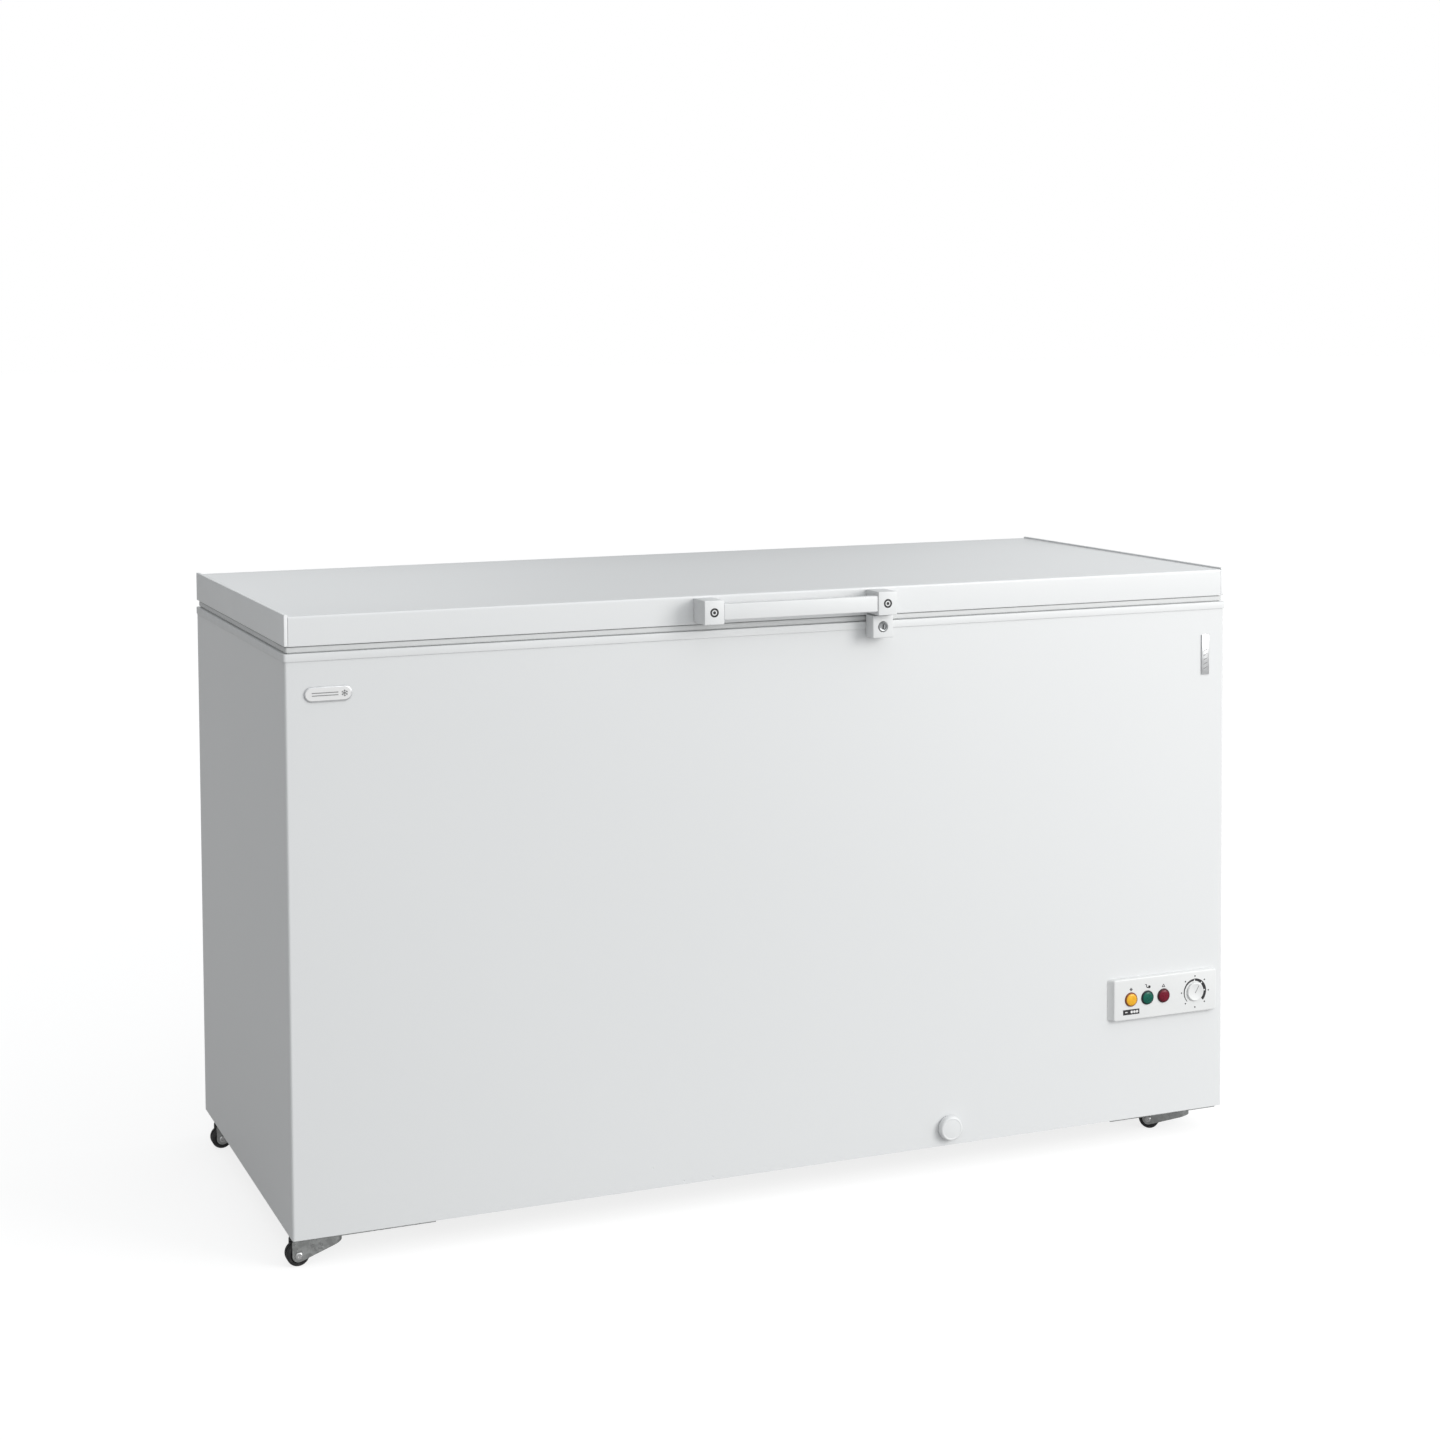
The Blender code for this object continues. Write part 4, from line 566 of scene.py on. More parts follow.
# ---------------------------------------------------------------- cabinet
def make_wrap():
    """Front and sides folded from one sheet, with small-radius bends, windows for the controls and the drain, and three
    small dimples.
    """
    bend = 0.0035
    path = [(WRAP_LO.x, WRAP_HI.y)] + [(x, y) for x, y in arc(WRAP_LO.x + bend, FRONT + bend, bend, 180, 270, 8)]
    path += [(x, y) for x, y in arc(WRAP_HI.x - bend, FRONT + bend, bend, 270, 360, 8)]
    path.append((WRAP_HI.x, WRAP_HI.y))
    bm = bmesh.new()
    add_sheet_path(bm, path, WRAP_LO.z, WRAP_HI.z, SKIN)
    wrap = place_piece("cabinet_wrap_sheet", bm, STEEL, "cabinet", ("cabinet_wrap",))
    lap = 0.008
    tools = [cutter(box_shape((BEZEL_LO.x + lap, FRONT - 0.01, BEZEL_LO.z + lap),
                              (BEZEL_HI.x - lap, FRONT + 0.01, BEZEL_HI.z - lap)))]
    outlet = span("drain_cap")[2]
    tools.append(cutter(lathe([(0, 0), (0.0108, 0), (0.0108, 0.02), (0, 0.02)],
                              (outlet.x, FRONT - 0.01, outlet.z), (0, 1, 0), 32)))
    for share, z in ((0.493, 0.028), (0.538, 0.0045), (0.580, 0.0045)):
        x = WRAP_LO.x + share
        tools.append(cutter(lathe([(0, 0), (0.0011, 0), (0.0004, 0.0006), (0, 0.0006)],
                                  (x, FRONT - 0.00001, WRAP_LO.z + z), (0, 1, 0), 16)))
    return carve(wrap, tools)


def make_back_panel():
    """Flat rear sheet with pressed stiffening ribs and a row of screws down each edge."""
    low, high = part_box("back_panel")
    bm = bmesh.new()
    add_box(bm, low, high)
    for z in (0.33, 0.47, 0.61):
        add_rounded_box(bm, (low.x + 0.10, high.y - 0.0006, z - 0.010), (high.x - 0.10, high.y + 0.0012, z + 0.010),
                        0.0012, 2, lambda edge: edge.verts[0].co.y > high.y or edge.verts[1].co.y > high.y)
    panel = place_piece("back_panel_sheet", bm, STEEL, "cabinet", ("back_panel",))
    grille = span("rear_grille")
    gland = span("cord_gland")[2]
    edge = 0.014
    tools = [cutter(box_shape((grille[0].x + edge, high.y - 0.01, grille[0].z + edge),
                              (grille[1].x - edge, high.y + 0.01, grille[1].z - edge))),
             cutter(lathe([(0, 0), (0.0068, 0), (0.0068, 0.02), (0, 0.02)], (gland.x, high.y - 0.01, gland.z),
                          (0, 1, 0), 24))]
    carve(panel, tools)
    bm = bmesh.new()
    for x in (low.x + 0.012, high.x - 0.012):
        for z in (0.10, 0.24, 0.38, 0.52, 0.66, 0.76):
            add_screw(bm, (x, high.y, z), (0, 1, 0), 0.0035)
    place_piece("back_panel_screws", bm, PLATED, "cabinet", ())


def add_screw(bm, place, axis, radius):
    """A pan head with a cross recess drawn as a stepped centre."""
    profile = [(0.0, radius * 0.22), (radius * 0.30, radius * 0.22), (radius * 0.42, radius * 0.52),
               (radius * 0.72, radius * 0.46), (radius * 0.95, radius * 0.20), (radius, 0.0002), (radius, -0.0001),
               (0.0, -0.0001)]
    add_lathe(bm, profile, place, axis, 20)


def make_collar():
    """Plastic frame over the cabinet's rim: rounded shoulders and a shallow groove inside the skirt."""
    rect = (COLLAR_LO.x, COLLAR_HI.x, COLLAR_LO.y, COLLAR_HI.y)
    z0, z1 = COLLAR_LO.z, COLLAR_HI.z
    wide = 0.0658
    outline = [(0.0, z0), (0.0, z1), (-wide, z1), (-wide, z0), (-wide + 0.002, z0), (-wide + 0.002, z1 - 0.002),
               (-0.0012, z1 - 0.002), (-0.0012, z0)]
    profile = soften(outline, 0.0009, 3)
    bm = rect_sweep(rect, profile, 0.004, 6)
    place_piece("top_collar_frame", bm, PLASTIC, "cabinet", ("top_collar",))


def make_liner():
    """Coated liner with large inner radii, a raised step over the machine room and a drain hole."""
    low, high = LINER_LO + Vector((SKIN, SKIN, SKIN)), LINER_HI - Vector((SKIN, SKIN, 0))
    step_x = span("machine_room_panel")[0].x - 0.0545
    step_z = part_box("machine_room_panel")[1].z + 0.054
    bm = bmesh.new()
    points = [(low.x, high.z + 0.02), (low.x, low.z), (step_x, low.z), (step_x, step_z), (high.x, step_z),
              (high.x, high.z + 0.02)]
    middle_y = (low.y + high.y) / 2
    add_prism(bm, points, high.y - low.y, facing(middle_y))
    bm.normal_update()
    edges = [edge for edge in bm.edges if min(v.co.z for v in edge.verts) < high.z - 0.01 or
             abs(edge.verts[0].co.z - edge.verts[1].co.z) > 0.01]
    bmesh.ops.bevel(bm, geom=edges, offset=0.010, segments=4, profile=0.5, affect="EDGES", clamp_overlap=True)
    inside = cutter(bm)
    bm = bmesh.new()
    points = [(LINER_LO.x, high.z), (LINER_LO.x, LINER_LO.z), (step_x + SKIN, LINER_LO.z),
              (step_x + SKIN, step_z - SKIN), (LINER_HI.x, step_z - SKIN), (LINER_HI.x, high.z)]
    add_prism(bm, points, LINER_HI.y - LINER_LO.y, facing(middle_y))
    liner = place_piece("inner_liner_tub", bm, LINER, "cabinet", ("inner_liner",))
    inlet = span("drain_plug")[2]
    hole = cutter(lathe([(0, 0), (0.0108, 0), (0.0108, 0.03), (0, 0.03)], (inlet.x, inlet.y, LINER_LO.z - 0.015),
                        (0, 0, 1), 32))
    return carve(liner, [inside, hole])


# ---------------------------------------------------------------- lid
def make_lid():
    y0, y1, z0, z1 = SHELL_LO.y, SHELL_HI.y, SHELL_LO.z, SHELL_HI.z
    line = [(y1, z0), (y1, z1), (y0, z1), (y0, z0)]
    bent = soften_open([Vector(point) for point in line], 0.0032, 6)
    bm = bmesh.new()
    add_section(bm, band(bent, SKIN), SHELL_LO.x, SHELL_HI.x)
    place_piece("lid_shell_sheet", bm, STEEL, "lid", ("lid_shell",))

    for side in ("left", "right"):
        low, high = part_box(f"lid_end_cap_{side}")
        out = -1 if side == "left" else 1
        outer = low.x if out < 0 else high.x
        inner = outer - out * 0.005
        bm = bmesh.new()
        add_rounded_box(bm, (min(outer, inner), low.y, low.z), (max(outer, inner), high.y, high.z), 0.0009, 4)
        deep = outer - out * 0.013
        root = outer - out * 0.003
        add_rounded_box(bm, (min(root, deep), low.y + 0.0035, low.z + 0.0025),
                        (max(root, deep), high.y - 0.0035, z1 - SKIN - GAP), 0.001, 2)
        place_piece(f"lid_end_cap_{side}_moulding", bm, CAP_PLASTIC, "lid", (f"lid_end_cap_{side}",))

    low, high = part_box("lid_inner_panel")
    edge, bulge = 0.0718, low.z
    line = [(0.0, z0), (-edge, z0), (-edge - 0.0045, bulge), (-edge - 0.040, bulge),
            (-edge - 0.046, bulge + 0.004), (-edge - 0.060, bulge + 0.004)]
    bent = soften_open([Vector(point) for point in line], 0.003, 4)
    bm = rect_sweep((low.x, high.x, low.y, high.y), band(bent[::-1], 0.0012), 0.004, 6, closed=False)
    place_piece("lid_inner_panel_moulding", bm, PLASTIC, "lid", ("lid_inner_panel",))

    low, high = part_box("lid_gasket")
    rect = (low.x, high.x, low.y, high.y)
    outline = [(-0.003, low.z), (-0.003, low.z + 0.0009), (0.0, low.z + 0.0014), (0.0, high.z - 0.0014),
               (-0.003, high.z - 0.0009), (-0.003, high.z), (-0.016, high.z), (-0.016, low.z)]
    bm = rect_sweep(rect, soften(outline, 0.0003, 2), 0.003, 5)
    place_piece("lid_gasket_bellows", bm, GASKET, "lid", ("lid_gasket",))
    recolour(FOAM, "lid_foam", "insulation_foam")


def make_handle():
    for side in ("left", "right"):
        low, high, middle = span(f"handle_block_{side}")
        bm = rounded_box(low, high, 0.0011, 4)
        block = place_piece(f"handle_block_{side}_moulding", bm, PLASTIC, "lid", (f"handle_block_{side}",))
        if side == "right":
            bolt = span("lock_bolt")[2]
            carve(block, [cutter(box_shape((bolt.x - 0.006, bolt.y - 0.0025, low.z - 0.01),
                                           (bolt.x + 0.006, bolt.y + 0.0025, low.z + 0.011)))])
        bm = bmesh.new()
        for outer, inner in ((0.0062, 0.0037), (0.0021, 0.0)):
            profile = [(inner, 0.00014), (outer, 0.00014), (outer, -0.0002), (inner, -0.0002)]
            add_lathe(bm, profile, (middle.x, low.y, middle.z), (0, -1, 0), 40, closed=inner > 0)
        place_piece(f"handle_stud_{side}", bm, INK, "lid", ())

    low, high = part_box("handle_bar")
    bm = rounded_box(low, high, 0.0016, 4)
    place_piece("handle_bar_moulding", bm, PLASTIC, "lid", ("handle_bar",))


def make_lock():
    low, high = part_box("lock_housing")
    bm = rounded_box(low, high, 0.0012, 4)
    housing = place_piece("lock_housing_moulding", bm, PLASTIC, "cabinet", ("lock_housing",))
    barrel_lo, barrel_hi, barrel = span("lock_barrel")
    bolt_lo, bolt_hi, bolt = span("lock_bolt")
    bore = 0.0076
    tools = [cutter(lathe([(0, 0), (bore, 0), (bore, 0.0242), (0, 0.0242)], (barrel.x, low.y - 0.01, barrel.z),
                          (0, 1, 0), 48)),
             cutter(box_shape((bolt.x - 0.0054, bolt_lo.y - 0.0014, bolt_lo.z - 0.0006),
                              (bolt.x + 0.0054, bolt_hi.y + 0.0004, high.z + 0.01)))]
    carve(housing, tools)

    radius = 0.0072
    tail = barrel_hi.y - barrel_lo.y
    profile = [(0.0, -0.0012), (0.0040, -0.0012), (0.0044, -0.0002), (0.0050, 0.0), (0.0064, 0.0), (radius, -0.0007),
               (radius, -tail), (0.0, -tail)]
    bm = lathe(profile, (barrel.x, barrel_lo.y, barrel.z), (0, -1, 0), 48)
    piece = place_piece("lock_barrel_face", bm, LOCK_METAL, "lock_barrel", ("lock_barrel",))
    slot = cutter(box_shape((barrel.x - 0.0009, barrel_lo.y - 0.01, barrel.z - 0.0034),
                            (barrel.x + 0.0009, barrel_lo.y + 0.006, barrel.z + 0.0034)))
    carve(piece, [slot])
    recolour(ZINC, "lock_bolt")


# ---------------------------------------------------------------- controls
def disc(bm, x, z, y, radius, thick=0.00012, steps=24):
    add_lathe(bm, [(0.0, thick), (radius, thick), (radius, -0.0001), (0.0, -0.0001)], (x, y, z), (0, -1, 0), steps)


def mark(bm, points, y, thick=0.00012):
    add_prism(bm, points, thick * 2, facing(y))


def stroke(bm, points, width, y):
    """A printed line through points."""
    for (xa, za), (xb, zb) in zip(points, points[1:]):
        ahead = Vector((xb - xa, zb - za)).normalized()
        side = Vector((-ahead.y, ahead.x)) * width / 2
        a, b = Vector((xa, za)) - ahead * width * 0.2, Vector((xb, zb)) + ahead * width * 0.2
        mark(bm, [tuple(a - side), tuple(b - side), tuple(b + side), tuple(a + side)], y)


def make_controls():
    front = BEZEL_LO.y
    low, high = BEZEL_LO, BEZEL_HI
    bm = bmesh.new()
    add_box(bm, low, high)
    upright = [edge for edge in bm.edges if abs(edge.verts[0].co.y - edge.verts[1].co.y) > 0.001]
    bmesh.ops.bevel(bm, geom=upright, offset=0.004, segments=5, profile=0.5, affect="EDGES")
    for vert in bm.verts:
        if vert.co.y < front + 0.0001 and vert.co.x < low.x + 0.006:
            vert.co.x += 0.0065
    face = [edge for edge in bm.edges if all(vert.co.y < front + 0.0001 for vert in edge.verts)]
    bmesh.ops.bevel(bm, geom=face, offset=0.0022, segments=4, profile=0.5, affect="EDGES")
    bezel = place_piece("control_bezel_moulding", bm, PANEL_PLASTIC, "cabinet", ("control_bezel",), 50)
    lamps = (("super_freeze_button", YELLOW, YELLOW_RIM_SHADE, "yellow_lens"), ("power_lamp", GREEN, GREEN_RIM_SHADE, "green_lens"),
             ("alarm_lamp", RED, RED_RIM_SHADE, "red_lens"))
    tools = []
    for name, _, _, _ in lamps:
        lo, hi, middle = span(name)
        bore = (hi.x - lo.x) / 2 + 0.0004
        tools.append(cutter(lathe([(0, 0), (bore, 0), (bore, 0.04), (0, 0.04)], (middle.x, front - 0.02, middle.z),
                                  (0, 1, 0), 48)))
    knob_lo, knob_hi, knob = span("thermostat_knob")
    tools.append(cutter(lathe([(0, 0), (0.0034, 0), (0.0034, 0.04), (0, 0.04)], (knob.x, front - 0.02, knob.z),
                              (0, 1, 0), 24)))
    carve(bezel, tools, 50)

    for name, finish, rim_shade, slot in lamps:
        lo, hi, middle = span(name)
        body = "super_freeze_button" if name == "super_freeze_button" else "cabinet"
        radius = (hi.x - lo.x) / 2
        proud = front - lo.y
        tail = lo.y - hi.y
        bm = lathe([(0.0, proud), (radius * 0.35, proud * 0.985), (radius * 0.62, proud * 0.90),
                    (radius * 0.80, proud * 0.74), (radius * 0.84, proud * 0.62), (radius * 0.84, tail + proud),
                    (0.0, tail + proud)], (middle.x, front, middle.z), (0, -1, 0), 64)
        place_piece(f"{name}_lens", bm, finish, body, (name,), 50)
        # A ring round each lens in a darker copy of its colour: painted shade at the lens edge.
        bm = lathe([(radius * 0.85, proud * 0.60), (radius * 0.88, proud * 0.70), (radius * 0.96, proud * 0.55),
                    (radius, proud * 0.25), (radius, -0.006), (radius * 0.85, -0.006)],
                   (middle.x, front, middle.z), (0, -1, 0), 64, closed=True)
        place_piece(f"{name}_rim", bm, rim_shade, body, (), 50)

    make_knob(knob_lo, knob_hi, knob, front)
    make_prints(front, knob)
    recolour(BLACK, "thermostat_body")


def make_knob(low, high, knob, front):
    radius = (high.x - low.x) / 2 - 0.0006
    proud = front - low.y - 0.0020
    profile = [(0.0, proud - 0.0004), (radius * 0.80, proud - 0.0004), (radius * 0.84, proud - 0.0001),
               (radius * 0.90, proud), (radius * 0.95, proud - 0.0003), (radius * 0.985, proud - 0.0010),
               (radius, 0.0010), (radius, 0.0006), (radius * 0.9, 0.0005), (0.0, 0.0005)]
    bm = lathe(profile, (knob.x, front, knob.z), (0, -1, 0), 72)
    for vert in bm.verts:
        dx, dz = vert.co.x - knob.x, vert.co.z - knob.z
        reach = math.hypot(dx, dz)
        if radius * 0.93 < reach < radius * 0.99:
            ripple = 1.0 - 0.012 * (0.5 + 0.5 * math.cos(math.atan2(dz, dx) * 36))
            vert.co.x, vert.co.z = knob.x + dx * ripple, knob.z + dz * ripple
    turn = Matrix.Translation((knob.x, 0.0, knob.z)) @ Matrix.Rotation(math.radians(30), 4, "Y")
    bar = bmesh.new()
    add_rounded_box(bar, (-0.00045, front - proud + 0.0001, -0.002), (0.00045, front - proud + 0.0012, radius - 0.0035),
                    0.0002, 2)
    bar.transform(turn)
    place_piece("thermostat_knob_cap", bm, PANEL_PLASTIC, "thermostat_knob", ("thermostat_knob",), 40)
    place_piece("thermostat_pointer", bar, GREY_INK, "thermostat_knob", (), 40)


def make_prints(front, knob):
    """Generic marks: a snowflake, a plug, a triangle, a three-dot strip and the dial's scale."""
    y = front - 0.00004
    bm = bmesh.new()
    yellow = span("super_freeze_button")[2]
    green = span("power_lamp")[2]
    red = span("alarm_lamp")[2]
    top = 0.0148
    for turn in range(3):
        angle = math.radians(60 * turn)
        dx, dz = math.cos(angle) * 0.0024, math.sin(angle) * 0.0024
        stroke(bm, [(yellow.x - dx, yellow.z + top - dz), (yellow.x + dx, yellow.z + top + dz)], 0.0009, y)
    stroke(bm, [(green.x - 0.0035, green.z + top + 0.0046), (green.x - 0.0016, green.z + top + 0.0046),
                (green.x - 0.0010, green.z + top + 0.0010), (green.x + 0.0006, green.z + top - 0.0002),
                (green.x + 0.0022, green.z + top + 0.0004)], 0.0011, y)
    disc(bm, green.x + 0.0034, green.z + top + 0.0008, y, 0.0021)
    stroke(bm, [(red.x, red.z + top + 0.0020), (red.x - 0.0024, red.z + top - 0.0016),
                (red.x + 0.0024, red.z + top - 0.0016), (red.x, red.z + top + 0.0020)], 0.0009, y)
    mark(bm, [(yellow.x - 0.0135, yellow.z - 0.0222), (yellow.x + 0.0140, yellow.z - 0.0222),
              (yellow.x + 0.0140, yellow.z - 0.0146), (yellow.x - 0.0135, yellow.z - 0.0146)], y)
    outer, parts = 0.0194, 42
    for index in range(parts):
        a0 = math.radians(225 - 270 * index / parts)
        a1 = math.radians(225 - 270 * (index + 1) / parts)
        share = index / parts
        wide = 0.0009 + 0.0046 * min(1.0, share * 1.25) ** 1.2
        if index in (20, 27, 34):
            wide *= 0.35
        ring = outer - wide / 2
        points = [(knob.x + (ring - wide / 2) * math.cos(a0), knob.z + (ring - wide / 2) * math.sin(a0)),
                  (knob.x + (ring - wide / 2) * math.cos(a1), knob.z + (ring - wide / 2) * math.sin(a1)),
                  (knob.x + (ring + wide / 2) * math.cos(a1), knob.z + (ring + wide / 2) * math.sin(a1)),
                  (knob.x + (ring + wide / 2) * math.cos(a0), knob.z + (ring + wide / 2) * math.sin(a0))]
        mark(bm, points[::-1], y)
    for index in range(8):
        angle = math.radians(225 - 45 * index)
        disc(bm, knob.x + 0.0232 * math.cos(angle), knob.z + 0.0232 * math.sin(angle), y, 0.0011)
    place_piece("control_prints", bm, INK, "cabinet", ())
    bm = bmesh.new()
    over = front - 0.00020
    for dx in (0.0010, 0.0055, 0.0100):
        disc(bm, yellow.x + dx, yellow.z - 0.0184, over, 0.0020)
    stroke(bm, [(yellow.x - 0.0098, yellow.z - 0.0184), (yellow.x - 0.0066, yellow.z - 0.0184)], 0.0014, over)
    place_piece("control_prints_pale", bm, PALE_INK, "cabinet", ())


def make_badges():
    low, high, middle = span("badge_plate")
    half = (high.x - low.x) / 2
    tall = (high.z - low.z) / 2
    outline = arc(half - tall, 0, tall, -90, 90, 16) + arc(-(half - tall), 0, tall, 90, 270, 16)
    place = Matrix.Translation((middle.x, 0.0, middle.z)) @ facing((low.y + high.y) / 2)
    bm = prism(outline, high.y - low.y, place, 0.0006, 3)
    place_piece("badge_oval", bm, SILVER, "cabinet", ("badge_plate",))
    inner = arc(half - tall, 0, tall - 0.0016, -90, 90, 16) + arc(-(half - tall), 0, tall - 0.0016, 90, 270, 16)
    place = Matrix.Translation((middle.x, 0.0, middle.z)) @ facing(low.y - 0.00005)
    bm = prism(inner, 0.0002, place, 0.00008, 1)
    place_piece("badge_field", bm, PALE_INK, "cabinet", ())
    bm = bmesh.new()
    y = low.y - 0.00025
    x = middle.x + half - tall
    for turn in range(3):
        angle = math.radians(90 + 60 * turn)
        dx, dz = math.cos(angle) * 0.0042, math.sin(angle) * 0.0042
        stroke(bm, [(x - dx, middle.z - dz), (x + dx, middle.z + dz)], 0.0008, y)
    for turn in range(6):
        angle = math.radians(90 + 60 * turn)
        root = Vector((x + math.cos(angle) * 0.0024, middle.z + math.sin(angle) * 0.0024))
        for side in (-45, 45):
            tip = root + Vector((math.cos(angle + math.radians(side)), math.sin(angle + math.radians(side)))) * 0.0016
            stroke(bm, [tuple(root), tuple(tip)], 0.0006, y)
    for z in (-0.0017, 0.0017):
        stroke(bm, [(middle.x - half + 0.010, middle.z + z), (x - 0.0085, middle.z + z)], 0.0011, y)
    place_piece("badge_snowflake", bm, GREY_INK, "cabinet", ())

    low, high, middle = span("emblem_plate")
    bm = rounded_box(low, high, 0.0006, 2)
    place_piece("emblem_strip", bm, SILVER, "cabinet", ("emblem_plate",))
    bm = bmesh.new()
    for step in range(7):
        z = low.z + 0.010 + step * (high.z - low.z - 0.020) / 6
        stroke(bm, [(middle.x - 0.0032, z - 0.0016), (middle.x + 0.0032, z + 0.0016)], 0.0009, low.y - 0.00005)
    place_piece("emblem_ribs", bm, GREY_INK, "cabinet", ())


# ---------------------------------------------------------------- drain
def make_drain():
    low, high, middle = span("drain_cap")
    radius = (high.x - low.x) / 2
    face = low.y
    back = face + 0.009
    profile = [(0.0, 0.0088), (radius * 0.70, 0.0088), (radius * 0.76, 0.0086), (radius * 0.80, 0.0090),
               (radius * 0.88, 0.0088), (radius * 0.95, 0.0078), (radius * 0.985, 0.0062), (radius, 0.0045),
               (radius, 0.0003), (radius - 0.0004, 0.0), (0.0071, 0.0), (0.0061, -0.0119), (0.0, -0.0119)]
    bm = lathe(profile, (middle.x, back, middle.z), (0, -1, 0), 64)
    place_piece("drain_cap_moulding", bm, PLASTIC, "drain_cap", ("drain_cap",), 40)
    low, high, middle = span("drain_plug")
    radius = (high.x - low.x) / 2
    profile = [(0.0, 0.0040), (radius * 0.35, 0.0040), (radius * 0.42, 0.0060), (radius * 0.52, 0.0060),
               (radius * 0.60, 0.0036), (radius * 0.92, 0.0032), (radius, 0.0020), (radius, 0.0003),
               (0.0071, 0.0003), (0.0061, -0.0119), (0.0, -0.0119)]
    bm = lathe(profile, (middle.x, middle.y, high.z - 0.006), (0, 0, 1), 48)
    place_piece("drain_plug_moulding", bm, PLASTIC, "drain_plug", ("drain_plug",), 40)
    recolour(PLASTIC, "drain_tube")


# ---------------------------------------------------------------- casters
def make_caster(name):
    joints = {joint["name"]: joint for joint in frame["joints"]}
    swivel = Vector(joints[f"wheel_swivel_{name}"]["pos_m"])
    hub = Vector(joints[f"wheel_roll_{name}"]["pos_m"])
    trail = Vector((hub.x - swivel.x, hub.y - swivel.y))
    turn = math.atan2(trail.y, trail.x)
    reach = trail.length
    low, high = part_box(f"caster_{name}_fork")
    top = high.z
    wheel_r = hub.z
    place = Matrix.Translation((swivel.x, swivel.y, 0.0)) @ Matrix.Rotation(turn, 4, "Z")
    half, sheet, nose = 0.0115, 0.0015, wheel_r - low.z
    lean = math.degrees(math.atan2(top - 0.008 - (wheel_r - nose), reach + half))

    def cheek_points(grow):
        points = [(-half - 0.001, top - grow), (reach + nose - 0.004 - grow, top - grow)]
        points += arc(reach + nose - 0.004 - grow, top - 0.004 - grow, 0.004, 90, 0, 4)[1:]
        points += arc(reach, wheel_r, nose - grow, 0, -90 - lean, 12)
        points += [(-half - 0.001, top - 0.008 + grow)]
        return points

    upright = Matrix.Rotation(math.radians(90), 4, "X")
    bm = prism(cheek_points(0.0), 2 * half, upright)
    solid = bmesh.new()
    outline = arc(0.0, 0.0, half, 90, 270, 18) + [(reach + 0.02, -half), (reach + 0.02, half)]
    add_prism(solid, outline, 0.2, Matrix.Identity(4))
    inner = bmesh.new()
    room = arc(0.0, 0.0, half - sheet, 90, 270, 18) + [(reach + 0.03, -half + sheet), (reach + 0.03, half - sheet)]
    add_prism(inner, room, 0.1, Matrix.Translation((0.0, 0.0, top - sheet - 0.05)))
    mouth = box_shape((reach - wheel_r * 0.9, -half + sheet, wheel_r), (reach + 0.03, half - sheet, top + 0.01))
    bm.transform(place)
    piece = place_piece(f"caster_{name}_fork_pressing", bm, ZINC, f"caster_{name}", (f"caster_{name}_fork",))
    solid.transform(place)
    keep = cutter(solid)
    step = piece.modifiers.new("keep", "BOOLEAN")
    step.operation = "INTERSECT"
    step.solver = "EXACT"
    step.object = keep
    inner.transform(place)
    mouth.transform(place)
    hole = lathe([(0, 0), (0.0043, 0), (0.0043, 0.02), (0, 0.02)], (0, 0, top - 0.01), (0, 0, 1), 20)
    hole.transform(place)
    carve(piece, [cutter(inner), cutter(mouth), cutter(hole)])
    bpy.data.objects.remove(keep, do_unlink=True)

    axis = Vector((-math.sin(turn), math.cos(turn), 0.0))
    width, groove, edge = 0.009, 0.002, 0.0024
    profile = [(0.0031, width - 0.0006), (0.0052, width - 0.0006), (0.0060, width - 0.0018),
               (wheel_r * 0.62, width - 0.0018), (wheel_r * 0.68, width), (wheel_r - edge, width)]
    profile += [(wheel_r - edge + edge * math.sin(math.radians(a)), width - edge + edge * math.cos(math.radians(a)))
                for a in (22, 45, 68, 90)]
    profile += [(wheel_r, groove + 0.0006), (wheel_r - 0.0006, groove), (0.0090, groove)]
    mirrored = [(radius, -height) for radius, height in profile[::-1]]
    bm = lathe(profile + mirrored, hub, axis, 56, closed=True)
    place_piece(f"caster_{name}_tyre", bm, TYRE, f"wheel_{name}", (f"caster_{name}_wheel",), 35)

    end = half + GAP
    head = end + 0.002
    profile = [(0.0, head - 0.0011), (0.0016, head - 0.0011), (0.0022, head - 0.0001), (0.0032, head),
               (0.0043, head - 0.0005), (0.0050, head - 0.0013), (0.0052, end), (0.0028, end)]
    mirrored = [(radius, -height) for radius, height in profile[::-1]]
    bm = lathe(profile + mirrored, hub, axis, 32)
    place_piece(f"caster_{name}_rivet", bm, PLATED, f"caster_{name}", (f"caster_{name}_axle",), 40)


